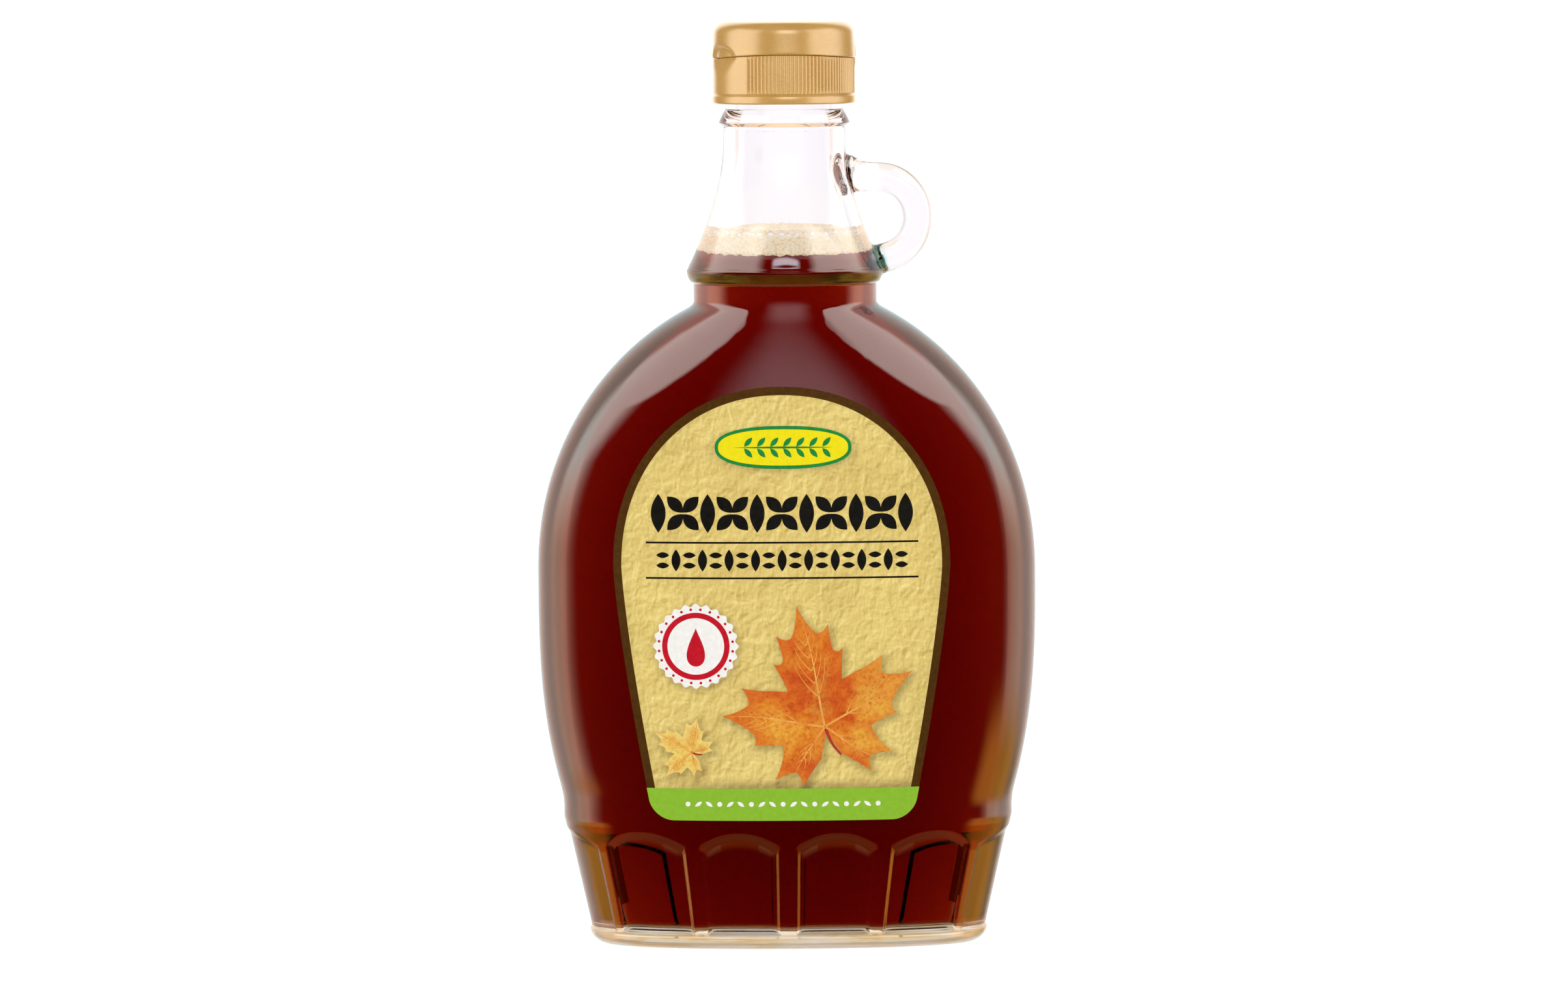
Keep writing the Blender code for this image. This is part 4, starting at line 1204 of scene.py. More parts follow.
lid = round_piece("cap_lid_shell", lid_rings, gold_material("gold_lid_plastic"),
                  ("cap_lid",), LID_COLS, (CAP_SEAM_Z + 0.3, CAP_TOP_Z - 0.02), 42)

# ---- label ----------------------------------------------------------------------------


def label_half_width(z, inset=0.0):
    top, wide = LABEL_TOP_Z - inset, LABEL_HALF_W - inset
    u = np.clip((z - LABEL_WIDEST_Z) / (top - LABEL_WIDEST_Z), 0.0, 1.0)
    upper = wide * (1.0 - u ** LABEL_ARCH_N) ** (1.0 / LABEL_ARCH_N)
    lower = wide - LABEL_TAPER[0] * np.maximum(LABEL_WIDEST_Z - z, 0.0) ** LABEL_TAPER[1]
    return np.where(z >= LABEL_WIDEST_Z, upper, lower)


def sheet_piece(name, heights, half_width, columns, lift0, lift1, mat, replaces=(), corner=0.0, edge=None):
    """A closed thin sheet on the front face between two lifts, row by row."""
    z = np.array(heights)
    w = half_width(z)
    if corner:
        h = np.clip(corner - (z - z[0]), 0.0, corner)
        w = w - (corner - np.sqrt(corner ** 2 - h ** 2))
    u = np.linspace(-1.0, 1.0, columns)
    xs = LABEL_X + w[:, None] * u[None, :]
    zs = np.repeat(z[:, None], columns, 1)
    top, low = on_front(xs, zs, lift1), on_front(xs, zs, lift0)
    n = top.shape[0] * columns
    vs = np.concatenate([top.reshape(-1, 3), low.reshape(-1, 3)])
    fs = grid_faces(0, len(z), columns, wrap=False)
    fs += grid_faces(n, len(z), columns, wrap=False, flip=True)
    rim = [i for i in range(columns)] + [r * columns + columns - 1 for r in range(1, len(z))]
    rim += [(len(z) - 1) * columns + c for c in range(columns - 2, -1, -1)]
    rim += [r * columns for r in range(len(z) - 2, 0, -1)]
    for a, b in zip(rim, rim[1:] + rim[:1]):
        fs.append((b, a, a + n, b + n))
    obj = make_piece(name, vs, fs, mat, replaces, sharp=60)
    return obj, xs, zs


def arch_heights(inset, bottom, rows_low, rows_arch):
    low = list(np.linspace(bottom, LABEL_WIDEST_Z, rows_low, endpoint=False))
    rise = LABEL_TOP_Z - inset - LABEL_WIDEST_Z
    arch = [LABEL_WIDEST_Z + rise * math.sin(0.5 * PI * k / rows_arch) for k in range(rows_arch)]
    return low + arch + [LABEL_TOP_Z - inset - 0.004]


border_mat = ink_material("label_brown_border", lin(80, 50, 6), lin(66, 38, 2), 0.4)
low_corner = [LABEL_BOTTOM_Z + LABEL_CORNER * (1.0 - math.cos(0.5 * PI * k / 10)) for k in range(10)]
heights = low_corner + arch_heights(0.0, LABEL_BOTTOM_Z + LABEL_CORNER, 44, 52)
label_base, _, _ = sheet_piece("label_border_sheet", heights, lambda z: label_half_width(z), 72, 0.02, 0.17,
                               border_mat, ("label",), corner=LABEL_CORNER)

# places of the printed motifs on the face, mm
CREST = (-0.65, 112.8, 15.2, 4.75)             # x, z, half width, half height
RULES_Z, RULE_X = (91.7, 83.8), (-31.3, 29.3)
TITLE_Z, SUB_Z = 98.2, 87.75
SEAL = (-20.3, 68.6, 9.5)
LEAVES = (((8.3, 50.6), 24.6, math.radians(13.0)), ((-21.4, 44.9), 8.4, math.radians(62.0)))   # base, size, turn


def leaf_outline():
    """Five-lobed leaf about its own base, tip up, size 1: tips and notches joined by hollow arcs."""
    # one side of the leaf from the stem round to the top: (angle from up, radius, is a point)
    side = [(178.0, 0.05, 0), (160.0, 0.30, 0), (147.0, 0.58, 1), (135.0, 0.49, 0), (124.0, 0.66, 1),
            (113.0, 0.47, 0), (102.0, 0.42, 0),
            (92.0, 0.66, 1), (82.0, 0.66, 0), (71.0, 0.93, 1), (61.0, 0.72, 0), (52.0, 0.83, 1), (42.0, 0.57, 0),
            (33.0, 0.46, 0),
            (26.0, 0.73, 1), (19.0, 0.71, 0), (15.0, 0.93, 1), (7.5, 0.86, 0), (0.0, 1.12, 1)]
    pts = []
    for deg, r, tip in side:
        a = math.radians(deg)
        pts.append((r * math.sin(a), r * math.cos(a), tip))
    ring = pts + [(-x, y, tip) for x, y, tip in reversed(pts[:-1])]
    out = []
    n = len(ring)
    for i in range(n):
        x0, y0, t0 = ring[i]
        x1, y1, t1 = ring[(i + 1) % n]
        mx, my = 0.5 * (x0 + x1), 0.5 * (y0 + y1)
        pull = 0.93 if (t0 or t1) else 0.98
        for k in range(7):
            u = k / 7
            qx = (1 - u) ** 2 * x0 + 2 * u * (1 - u) * mx * pull + u * u * x1
            qy = (1 - u) ** 2 * y0 + 2 * u * (1 - u) * my * pull + u * u * y1
            out.append((qx, qy))
    return out


def place_leaf(points, base, size, turn):
    c, s = math.cos(turn), math.sin(turn)
    return [(base[0] + size * (x * c - y * s), base[1] + size * (x * s + y * c)) for x, y in points]


leaf_shapes = [place_leaf(leaf_outline(), *leaf) for leaf in LEAVES]


def distance_outside(px, pz, poly):
    """Distance from points to a polygon's edge, negative inside."""
    poly = np.array(poly)
    a, b = poly, np.roll(poly, -1, 0)
    best = np.full(px.shape, 1e9)
    inside = np.zeros(px.shape, bool)
    for (ax, az), (bx, bz) in zip(a, b):
        ex, ez = bx - ax, bz - az
        u = np.clip(((px - ax) * ex + (pz - az) * ez) / (ex * ex + ez * ez + 1e-12), 0.0, 1.0)
        best = np.minimum(best, np.hypot(px - ax - u * ex, pz - az - u * ez))
        cross = (az > pz) != (bz > pz)
        with np.errstate(divide="ignore", invalid="ignore"):
            at = (bx - ax) * (pz - az) / (bz - az) + ax
        inside ^= cross & (px < at)
    return np.where(inside, -best, best)


heights = arch_heights(LABEL_BORDER, BAND_TOP_Z - 0.6, 92, 74)
paper, xs, zs = sheet_piece("label_tan_sheet", heights, lambda z: label_half_width(z, LABEL_BORDER), 120, 0.1, 0.21,
                            paper_material())
cast = np.ones(xs.shape)
for shape in leaf_shapes:
    cast -= 0.40 * (1.0 - ease((distance_outside(xs - 0.5, zs + 0.7, shape) + 0.6) / 2.4))
cast -= 0.30 * (1.0 - ease((np.hypot(xs - SEAL[0] - 0.35, zs - SEAL[1] + 0.5) - SEAL[2] + 0.6) / 1.8))
oval = (np.abs((xs - CREST[0] - 0.3) / CREST[2]) ** 2.4 + np.abs((zs - CREST[1] + 0.5) / CREST[3]) ** 2.4) ** (1 / 2.4)
cast -= 0.30 * (1.0 - ease(((oval - 1.0) * CREST[3] + 0.6) / 1.6))
cast -= 0.45 * (1.0 - ease((zs - BAND_TOP_Z) / 2.6)) * ease((xs + 36.0) / 24.0)
edge_fall = label_half_width(zs, LABEL_BORDER) - np.abs(xs - LABEL_X)
cast -= 0.07 * (1.0 - ease(edge_fall / 3.0))
cast = np.clip(cast, 0.3, 1.0)
values = np.concatenate([cast.reshape(-1), cast.reshape(-1)])
tint = paper.data.color_attributes.new("cast", "FLOAT_COLOR", "POINT")
warm = np.stack([values ** 0.95, values, values ** 1.0, np.ones_like(values)], -1)
tint.data.foreach_set("color", warm.reshape(-1).astype(np.float32))


def cut_shapes(name, outlines, lift0, lift1, mat, spacing=1.1, grid=True):
    """Thin closed pieces on the face with these outlines (lists of (x, z), anticlockwise seen from the front)."""
    vs, fs = [], []
    edges_data = []
    for outline in outlines:
        pts = [Vector(p) for p in outline]
        area = sum(a.x * b.y - b.x * a.y for a, b in zip(pts, pts[1:] + pts[:1]))
        if area < 0:
            pts.reverse()
        inner = []
        lo = Vector((min(p.x for p in pts), min(p.y for p in pts)))
        hi = Vector((max(p.x for p in pts), max(p.y for p in pts)))
        if grid and min(hi.x - lo.x, hi.y - lo.y) > spacing * 1.6:
            gx = np.arange(lo.x + spacing * 0.5, hi.x, spacing)
            gz = np.arange(lo.y + spacing * 0.5, hi.y, spacing)
            mx, mz = np.meshgrid(gx, gz)
            d = distance_outside(mx, mz, [(p.x, p.y) for p in pts])
            inner = [Vector((float(a), float(b))) for a, b, c in zip(mx.ravel(), mz.ravel(), d.ravel()) if c < -0.3 * spacing]
        co, _, tris, _, _, _ = delaunay_2d_cdt(pts + inner, [], [list(range(len(pts)))], 1, 1e-6)
        xz = np.array([(c.x, c.y) for c in co])
        base, n = len(vs), len(xz)
        vs.extend(on_front(xz[:, 0], xz[:, 1], lift1).tolist())
        vs.extend(on_front(xz[:, 0], xz[:, 1], lift0).tolist())
        edge_count = {}
        for tri in tris:
            tri = list(tri)
            a, b, c = (co[i] for i in tri[:3])
            if (b - a).cross(c - a) < 0:
                tri.reverse()
            fs.append(tuple(base + i for i in tri))
            fs.append(tuple(base + n + i for i in reversed(tri)))
            for u, v in zip(tri, tri[1:] + tri[:1]):
                edge_count[(u, v)] = edge_count.get((u, v), 0) + 1
        for (u, v) in list(edge_count):
            if (v, u) not in edge_count:
                fs.append((base + v, base + u, base + n + u, base + n + v))
        edges_data.append((base, n, xz))
    obj = make_piece(name, vs, fs, mat, sharp=60)
    return obj, edges_data


def oval_outline(cx, cz, a, b, n=48, power=2.0, turn=0.0):
    out = []
    for i in range(n):
        t = 2.0 * PI * i / n
        c, s = math.cos(t), math.sin(t)
        x = a * math.copysign(abs(c) ** (2.0 / power), c)
        z = b * math.copysign(abs(s) ** (2.0 / power), s)
        out.append((cx + x * math.cos(turn) - z * math.sin(turn), cz + x * math.sin(turn) + z * math.cos(turn)))
    return out


def lens_outline(cx, cz, length, width, turn, n=14):
    """A pointed leaf-like lens."""
    out = []
    for sign in (1, -1):
        for i in range(n):
            u = -1.0 + 2.0 * i / n
            u *= sign
            out.append((u * length * 0.5, sign * -width * 0.5 * (1.0 - u * u)))
    c, s = math.cos(turn), math.sin(turn)
    return [(cx + x * c - z * s, cz + x * s + z * c) for x, z in out]


def bar_outline(x0, z0, x1, z1, step=1.5):
    n = max(1, int((x1 - x0) / step))
    low = [(x0 + (x1 - x0) * i / n, z0) for i in range(n + 1)]
    high = [(x1 - (x1 - x0) * i / n, z1) for i in range(n + 1)]
    return low + high


black = ink_material("print_black", lin(26, 23, 18), lin(12, 11, 9), 0.4)
green = ink_material("print_green", lin(34, 142, 66), lin(24, 126, 54), 0.4)
yellow = ink_material("print_yellow", lin(246, 230, 30), lin(238, 220, 14), 0.4)
white = ink_material("print_white", lin(252, 250, 246), lin(240, 236, 230), 0.4)
red = ink_material("print_red", lin(204, 26, 44), lin(188, 16, 34), 0.4)
lime = ink_material("print_band_green", lin(144, 193, 54), lin(136, 184, 46), 0.42)

# thin rules
cut_shapes("label_rules", [bar_outline(RULE_X[0], z - 0.2, RULE_X[1], z + 0.2) for z in RULES_Z], 0.15, 0.245, black, grid=False)

# upper frieze: quatrefoils and tall lozenges in turn
motifs, mid_x = [], 0.5 * (RULE_X[0] + RULE_X[1])
for i in range(-5, 6):
    cx = mid_x + i * 5.5
    if i % 2 == 0:
        for k in range(4):
            a = 0.25 * PI + 0.5 * PI * k
            motifs.append(lens_outline(cx + 2.45 * math.cos(a), TITLE_Z + 2.75 * math.sin(a), 5.0, 2.7, a))
    else:
        motifs.append(lens_outline(cx, TITLE_Z, 8.6, 3.3, 0.5 * PI))
cut_shapes("label_upper_frieze", motifs, 0.15, 0.245, black, spacing=0.9)
# lower frieze: a small chain of lozenges and dots
motifs = []
for i in range(-9, 10):
    cx = mid_x + i * 2.95
    if i % 2 == 0:
        motifs.append(lens_outline(cx, SUB_Z, 4.9, 2.0, 0.5 * PI))
    else:
        for dz in (-1.15, 1.15):
            motifs.append(lens_outline(cx, SUB_Z + dz, 2.9, 1.3, 0.0))
cut_shapes("label_lower_frieze", motifs, 0.15, 0.245, black, spacing=0.9)

# crest: an oval with a sprig
cx, cz, ca, cb = CREST
cut_shapes("label_crest_rim", [oval_outline(cx, cz, ca, cb, 96, 2.4)], 0.15, 0.25, green)
cut_shapes("label_crest_field", [oval_outline(cx, cz, ca - 0.75, cb - 0.75, 96, 2.4)], 0.2, 0.28, yellow)
sprig = [lens_outline(cx, cz, 22.0, 0.42, 0.0)]
for i in range(-3, 4):
    px = cx + i * 2.9
    for sign in (1, -1):
        sprig.append(lens_outline(px + 0.95, cz + sign * 1.2, 2.7, 1.1, sign * math.radians(48.0)))
cut_shapes("label_crest_sprig", sprig, 0.24, 0.31, green, spacing=0.9)

# seal: scalloped disc, ring and a drop
sx, sz, sr = SEAL
scallop = [(sx + (sr * (0.965 + 0.035 * math.cos(24 * a))) * math.cos(a), sz + (sr * (0.965 + 0.035 * math.cos(24 * a))) * math.sin(a))
           for a in (2.0 * PI * i / 288 for i in range(288))]
cut_shapes("label_seal_disc", [scallop], 0.15, 0.25, white)
cut_shapes("label_seal_ring", [oval_outline(sx, sz, 7.5, 7.5, 96)], 0.2, 0.28, red)
cut_shapes("label_seal_field", [oval_outline(sx, sz, 6.3, 6.3, 96)], 0.24, 0.31, white)
drop = []
for i in range(60):
    a = 2.0 * PI * i / 60
    pinch = math.sin(0.5 * a) ** 1.5
    drop.append((sx - 2.9 * math.sin(a) * pinch, sz - 0.2 + 4.3 * math.cos(a)))
cut_shapes("label_seal_drop", [drop], 0.27, 0.34, red)
dots = [oval_outline(sx + 8.25 * math.cos(a), sz + 8.25 * math.sin(a), 0.3, 0.3, 14)
        for a in (2.0 * PI * (i + 0.5) / 24 for i in range(24))]
cut_shapes("label_seal_dots", dots, 0.2, 0.28, red, grid=False)

# leaves
orange_leaf = leaf_material("orange_leaf_print", [(0.3, lin(200, 76, 28)), (0.42, lin(216, 104, 32)), (0.54, lin(226, 132, 40)),
                                                  (0.68, lin(236, 164, 56)), (0.84, lin(244, 200, 84))], lin(214, 96, 36))
golden_leaf = leaf_material("golden_leaf_print", [(0.3, lin(226, 158, 58)), (0.5, lin(236, 192, 84)), (0.75, lin(244, 218, 112))],
                            lin(248, 230, 140))
for name, shape, mat in (("label_leaf", leaf_shapes[0], orange_leaf), ("label_small_leaf", leaf_shapes[1], golden_leaf)):
    leaf, info = cut_shapes(name, [shape], 0.15, 0.255, mat, spacing=0.8)
    base, n, xz = info[0]
    depth = -distance_outside(xz[:, 0], xz[:, 1], shape)
    fade = np.tile(np.clip(1.0 - depth / 2.4, 0.0, 1.0), 2)
    attr = leaf.data.color_attributes.new("edge", "FLOAT_COLOR", "POINT")
    attr.data.foreach_set("color", np.stack([fade, fade, fade, np.ones_like(fade)], -1).reshape(-1).astype(np.float32))


def strip(points, widths):
    pts = np.array(points, float)
    d = np.gradient(pts, axis=0)
    d /= np.linalg.norm(d, axis=1, keepdims=True) + 1e-12
    side = np.stack([-d[:, 1], d[:, 0]], -1) * (np.array(widths)[:, None] * 0.5)
    left, right = pts + side, pts - side
    return [tuple(p) for p in right] + [tuple(p) for p in left[::-1]]


veins, stems = [], []
lobes = [(0.0, 1.04), (71.0, 0.86), (-71.0, 0.86), (135.0, 0.5), (-135.0, 0.5)]
for leaf_place, shape in zip(LEAVES, leaf_shapes):
    thick = 0.35 + 0.65 * leaf_place[1] / LEAVES[0][1]
    for deg, reach in lobes:
        a = math.radians(deg)
        path = [(u * reach * math.sin(a + 0.05 * math.sin(3 * u)), u * reach * math.cos(a + 0.05 * math.sin(3 * u)))
                for u in np.linspace(0.0, 1.0, 16)]
        veins.append(strip(place_leaf(path, *leaf_place), np.linspace(0.5, 0.1, 16) * thick))
        shoots = 5 if reach > 0.6 else 3
        for k in range(1, shoots + 1):
            u = 0.16 + 0.68 * k / (shoots + 1)
            for sign in (1, -1):
                b = a + sign * math.radians(38.0)
                length = (0.34 - 0.16 * u) * reach * (1.15 if k == 1 else 1.0)
                x0, y0 = u * reach * math.sin(a), u * reach * math.cos(a)
                path = [(x0 + length * v * math.sin(b - sign * 0.25 * v), y0 + length * v * math.cos(b - sign * 0.25 * v))
                        for v in np.linspace(0.0, 1.0, 8)]
                path = place_leaf(path, *leaf_place)
                inside = distance_outside(np.array([p[0] for p in path]), np.array([p[1] for p in path]), shape)
                keep = [p for p, d in zip(path, inside) if d < -0.25]
                if len(keep) > 3:
                    veins.append(strip(keep, np.linspace(0.22, 0.07, len(keep)) * thick))
    path = place_leaf([(0.0, 0.02), (0.01, -0.08), (0.035, -0.18), (0.085, -0.28)], *leaf_place)
    stems.append(strip(through([(x, z, 0.0) for x, z in path], 5)[:, :2], np.linspace(0.75, 0.5, 16) * thick))
vein_mat = ink_material("leaf_vein_print", lin(244, 184, 90), lin(226, 136, 56), 0.45, 300.0)
cut_shapes("label_leaf_veins", veins, 0.22, 0.285, vein_mat, grid=False)
cut_shapes("label_leaf_stems", stems, 0.15, 0.27, ink_material("leaf_stem_print", lin(190, 62, 44), lin(160, 40, 30)), grid=False)

# green band along the foot of the label, with a row of small white motifs
band_heights = low_corner + list(np.linspace(LABEL_BOTTOM_Z + LABEL_CORNER, BAND_TOP_Z, 5))
band, _, _ = sheet_piece("label_foot_band", band_heights, lambda z: label_half_width(z, -0.02), 80, 0.1, 0.25, lime,
                         corner=LABEL_CORNER)
motifs = []
for i in range(-9, 10):
    px = LABEL_X + i * 2.35
    if i % 3 == 0:
        motifs.append(oval_outline(px, 33.3, 0.55, 0.55, 20))
    else:
        motifs.append(lens_outline(px, 33.3, 1.9, 0.8, math.radians(35.0 if i % 3 == 1 else -35.0)))
cut_shapes("label_band_motifs", motifs, 0.2, 0.285, white, grid=False)

# ---- stage: floor, light and camera -------------------------------------------------------
bpy.ops.mesh.primitive_grid_add(x_subdivisions=8, y_subdivisions=8, size=9.0, location=(0.0, 0.0, 0.0))
floor = bpy.context.active_object
floor.name = "floor"
f = Shader("pale_floor")
f.set(Base_Color=(0.55, 0.55, 0.55), Roughness=0.9, Specular_IOR_Level=0.0)
emit = f.nodes.new("ShaderNodeEmission")
emit.inputs["Color"].default_value = (1.0, 1.0, 1.0, 1.0)
path = f.nodes.new("ShaderNodeLightPath")
seen = f.math("MULTIPLY", path.outputs["Is Camera Ray"], 0.32)
f.links.new(f.math("ADD", seen, 0.46), emit.inputs["Strength"])
both = f.nodes.new("ShaderNodeAddShader")
f.links.new(f.bsdf.outputs[0], both.inputs[0])
f.links.new(emit.outputs[0], both.inputs[1])
f.links.new(both.outputs[0], f.out.inputs["Surface"])
floor.data.materials.append(f.mat)
floor.visible_glossy = False
floor.visible_transmission = False

world = bpy.data.worlds.new("soft_studio")
scene.world = world
world.use_nodes = True
wt = world.node_tree
for node in list(wt.nodes):
    wt.nodes.remove(node)


class WorldNodes:
    def __init__(self, tree):
        self.tree, self.nodes, self.links = tree, tree.nodes, tree.links

    def math(self, operation, a, b=0.0, c=None, clamp=False):
        node = self.nodes.new("ShaderNodeMath")
        node.operation = operation
        node.use_clamp = clamp
        for socket, value in zip(node.inputs, (a, b) if c is None else (a, b, c)):
            if isinstance(value, bpy.types.NodeSocket):
                self.links.new(value, socket)
            else:
                socket.default_value = value
        return node.outputs[0]

    def step(self, value, a, b):
        """Smooth 0 to 1 as value goes from a to b."""
        node = self.nodes.new("ShaderNodeMapRange")
        node.interpolation_type = "SMOOTHSTEP"
        self.links.new(value, node.inputs["Value"])
        node.inputs["From Min"].default_value = a
        node.inputs["From Max"].default_value = b
        return node.outputs["Result"]

    def window(self, value, a, b, c, d):
        return self.math("MULTIPLY", self.step(value, a, b), self.math("SUBTRACT", 1.0, self.step(value, c, d)))

    def ramp_up(self, value, start, length, rate):
        """Rises at this rate over the length that follows start, then stays."""
        return self.math("MULTIPLY", self.math("MINIMUM", self.math("MAXIMUM", self.math("SUBTRACT", value, start), 0.0),
                                               length), rate)

    def times(self, *values):
        total = values[0]
        for value in values[1:]:
            total = self.math("MULTIPLY", total, value)
        return total

    def plus(self, *values):
        total = values[0]
        for value in values[1:]:
            total = self.math("ADD", total, value)
        return total

    def blend(self, fac, a, b):
        node = self.nodes.new("ShaderNodeMix")
        node.data_type = "RGBA"
        node.clamp_result = False
        for index, value in ((0, fac), (6, a), (7, b)):
            if isinstance(value, bpy.types.NodeSocket):
                self.links.new(value, node.inputs[index])
            else:
                node.inputs[index].default_value = (*value, 1.0) if isinstance(value, tuple) else value
        return node.outputs[2]

    def lit(self, strength, colour):
        """This much light of this colour."""
        node = self.nodes.new("ShaderNodeVectorMath")
        node.operation = "SCALE"
        if isinstance(colour, tuple):
            node.inputs[0].default_value = colour
        else:
            self.links.new(colour, node.inputs[0])
        self.links.new(strength, node.inputs["Scale"])
        return node.outputs[0]

    def gather(self, *lights):
        total = lights[0]
        for light in lights[1:]:
            node = self.nodes.new("ShaderNodeVectorMath")
            node.operation = "ADD"
            self.links.new(total, node.inputs[0])
            self.links.new(light, node.inputs[1])
            total = node.outputs[0]
        return total

    def background(self, colour, strength=1.0):
        node = self.nodes.new("ShaderNodeBackground")
        for key, value in (("Color", colour), ("Strength", strength)):
            if isinstance(value, bpy.types.NodeSocket):
                self.links.new(value, node.inputs[key])
            else:
                node.inputs[key].default_value = (*value, 1.0) if isinstance(value, tuple) else value
        return node.outputs[0]

    def choose(self, fac, a, b):
        node = self.nodes.new("ShaderNodeMixShader")
        self.links.new(fac, node.inputs[0])
        self.links.new(a, node.inputs[1])
        self.links.new(b, node.inputs[2])
        return node.outputs[0]


w = WorldNodes(wt)
where = wt.nodes.new("ShaderNodeTexCoord")
split = wt.nodes.new("ShaderNodeSeparateXYZ")
wt.links.new(where.outputs["Generated"], split.inputs[0])
dx, dy, dz = split.outputs
round_deg = w.math("MULTIPLY", w.math("ARCTAN2", dx, w.math("MULTIPLY", dy, -1.0)), 180.0 / PI)   # 0 in front, + to the right
up_deg = w.math("MULTIPLY", w.math("ARCSINE", dz), 180.0 / PI)
away = w.math("ABSOLUTE", round_deg)

down_deg = w.math("MULTIPLY", up_deg, -1.0)
on_right, on_left = w.math("GREATER_THAN", round_deg, 0.0), w.math("LESS_THAN", round_deg, 0.0)

# in the glass: two big boxes at the sides that lean in overhead and leave a gap in front, with a soft
# glow in the gap and a small key light above it; low down the table, coloured by light from the syrup
leaned = w.plus(w.ramp_up(up_deg, 18.0, 15.0, 0.85), w.ramp_up(up_deg, 33.0, 4.0, 10.0), w.ramp_up(up_deg, 42.0, 7.0, -1.2))
right = w.times(w.step(w.plus(round_deg, leaned), 80.0, 102.0), on_right)
left = w.times(w.step(w.math("SUBTRACT", leaned, round_deg), 74.0, 98.0), on_left)
front_face = w.plus(w.times(w.step(up_deg, -2.0, 20.0), 2.6), w.times(w.step(up_deg, 34.0, 44.0), 0.1), 2.4 - 1.75)
side_light = w.plus(w.times(front_face, w.math("SUBTRACT", 1.0, w.step(away, 106.0, 122.0))),
                    w.times(w.step(away, 112.0, 136.0), -0.4), w.times(w.step(away, 150.0, 172.0), -0.15), 1.75)
low = w.plus(w.times(w.step(down_deg, 7.0, 16.0), on_right), w.times(w.step(down_deg, 15.0, 21.0), on_left))
low = w.times(low, w.math("SUBTRACT", 1.0, w.step(away, 138.0, 168.0)))
side_tint = w.blend(w.step(up_deg, 0.0, 22.0), (1.75, 0.97, 0.7), (1.05, 1.0, 0.92))
side_tint = w.blend(w.step(away, 106.0, 124.0), side_tint, (1.34, 0.92, 0.78))
side_tint = w.blend(w.step(away, 144.0, 172.0), side_tint, (0.88, 1.0, 1.0))
boxes = w.lit(w.times(w.plus(right, left), side_light, w.math("SUBTRACT", 1.0, low),
                      w.math("SUBTRACT", 1.0, w.step(up_deg, 62.0, 74.0))), side_tint)
amber = w.lit(w.times(low, w.step(away, 68.0, 84.0), w.math("SUBTRACT", 1.0, w.step(down_deg, 40.0, 50.0)), 3.4),
              w.blend(w.step(away, 112.0, 140.0), (1.0, 0.4, 0.05), (0.24, 0.16, 0.08)))
under = w.lit(w.times(w.step(down_deg, 30.0, 36.0), w.math("SUBTRACT", 1.0, w.times(w.step(away, 80.0, 110.0), 0.5))),
              w.blend(w.step(down_deg, 44.0, 54.0), (1.5, 0.62, 0.24), (0.8, 0.6, 0.34)))
glow = w.lit(w.times(w.window(round_deg, -28.0, -4.0, 12.0, 36.0), w.window(up_deg, 5.0, 14.0, 18.0, 33.0), 1.4),
             (1.3, 1.0, 1.03))
key = w.lit(w.times(w.window(round_deg, -22.0, -14.0, 16.0, 25.0), w.window(up_deg, 46.8, 47.8, 48.5, 49.4), 9.0),
            (0.98, 1.0, 1.1))
overhead = w.lit(w.plus(w.times(w.step(up_deg, 60.0, 76.0), 0.8), 0.01), (1.0, 1.0, 1.0))
studio = w.background(w.gather(boxes, amber, under, glow, key, overhead))

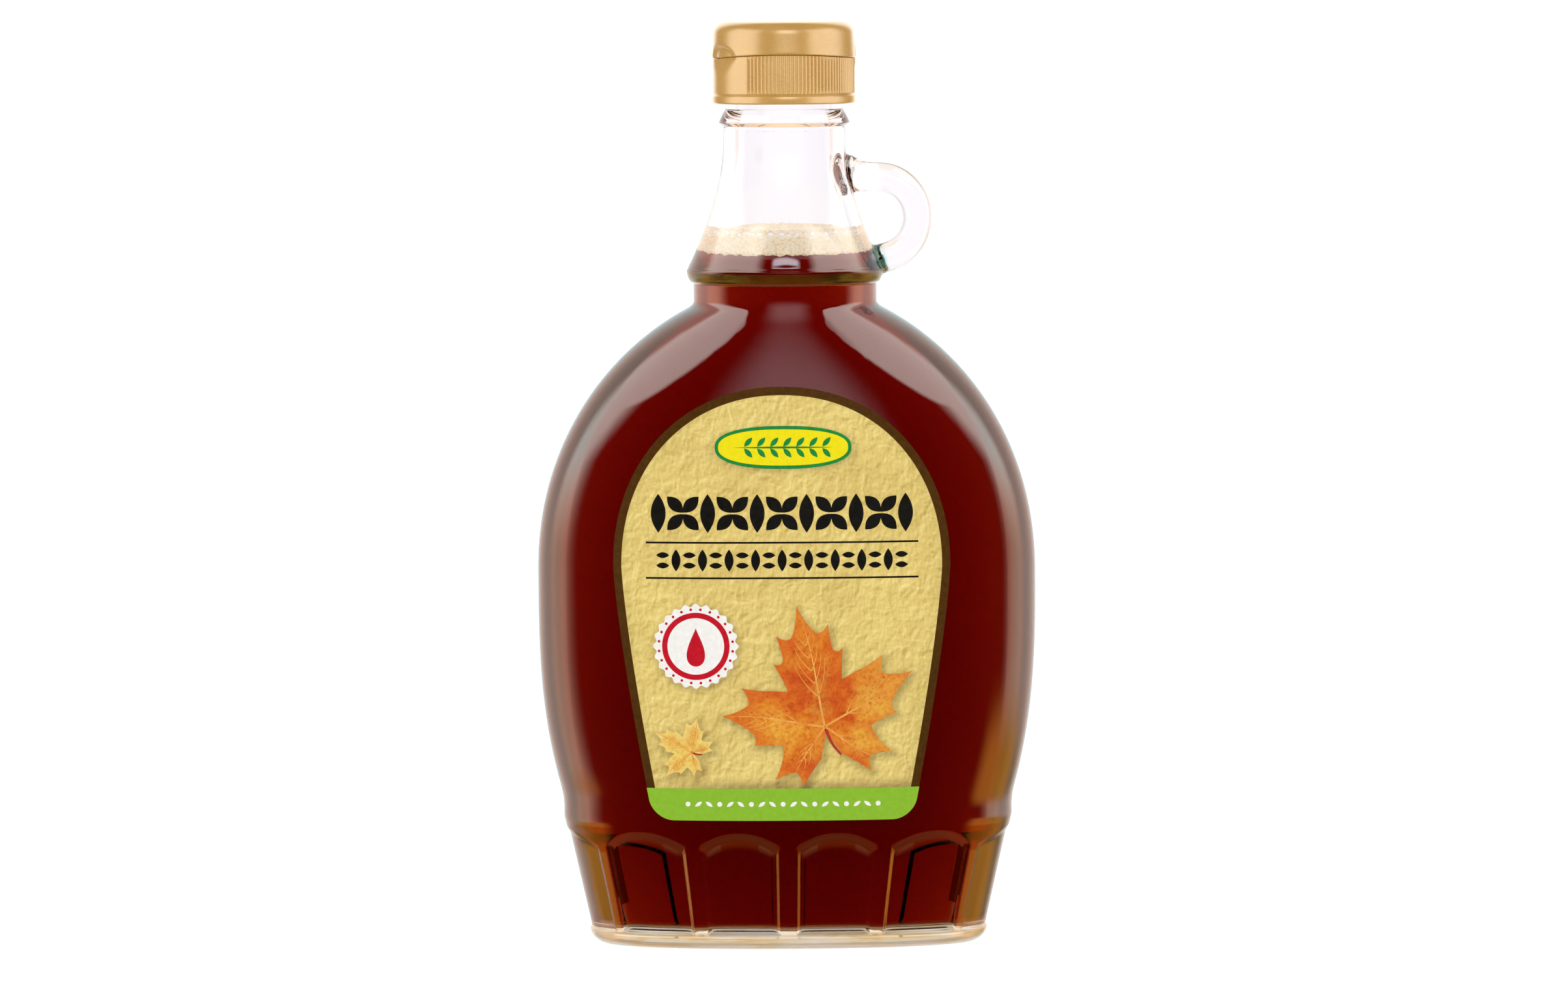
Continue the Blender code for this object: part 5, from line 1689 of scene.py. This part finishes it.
# on satin surfaces: upright strips of light round the front, and a soft fill everywhere
strips = w.plus(w.times(w.window(round_deg, -114.0, -94.0, -48.0, -38.0), 2.7),
                w.times(w.window(round_deg, -15.0, -6.0, 16.0, 27.0), 4.6, w.step(up_deg, 2.0, 22.0)),
                w.times(w.window(round_deg, 37.0, 47.0, 94.0, 122.0), 2.6), w.times(w.step(away, 138.0, 156.0), 1.9))
strips = w.times(strips, w.window(up_deg, -40.0, -22.0, 34.0, 52.0))
satin = w.background((1.0, 0.97, 0.9), w.plus(strips, 0.14))

# what is seen through the glass: a bright room, a little dimmer at the sides, overhead and below
through_all = w.plus(w.times(w.window(away, 40.0, 62.0, 120.0, 150.0), -0.4),
                     w.times(w.step(w.math("ABSOLUTE", up_deg), 38.0, 70.0), -0.25), 1.19)
seen_through = w.background((1.0, 1.0, 1.0), through_all)
ambient = w.background((1.0, 1.0, 1.0), w.plus(w.times(w.step(up_deg, -30.0, 80.0), 0.25), 0.86))
white_back = w.background((1.0, 1.0, 1.0), 1.02)
path = wt.nodes.new("ShaderNodeLightPath")
mirrored = w.choose(path.outputs["Is Singular Ray"], satin, studio)
light = w.choose(path.outputs["Is Glossy Ray"], ambient, mirrored)
light = w.choose(path.outputs["Is Transmission Ray"], light, seen_through)
light = w.choose(path.outputs["Is Camera Ray"], light, white_back)
world_out = wt.nodes.new("ShaderNodeOutputWorld")
wt.links.new(light, world_out.inputs["Surface"])
world.cycles.sampling_method = "NONE"

camera_data = bpy.data.cameras.new("camera")
camera_data.sensor_fit = "HORIZONTAL"
camera_data.sensor_width = 36.0
camera_data.lens = 235.9
camera_data.clip_end = 50.0
camera = bpy.data.objects.new("camera", camera_data)
scene.collection.objects.link(camera)
camera.location = (-0.0005, -2.310, 0.236)
aim = Vector((-0.0005, 0.0, 0.101)) - Vector(camera.location)
lean_left = Quaternion((0.0, 0.0, 1.0), math.radians(-0.33))
camera.rotation_euler = (aim.to_track_quat("-Z", "Y") @ lean_left).to_euler()
scene.camera = camera

scene.view_settings.view_transform = "Standard"
scene.view_settings.look = "None"
scene.cycles.use_denoising = True
scene.cycles.max_bounces = 24
scene.cycles.transmission_bounces = 20
scene.cycles.glossy_bounces = 8
scene.cycles.diffuse_bounces = 8
scene.cycles.transparent_max_bounces = 8
scene.cycles.caustics_reflective = True
scene.cycles.caustics_refractive = True
scene.cycles.blur_glossy = 0.2
scene.cycles.sample_clamp_indirect = 6.0
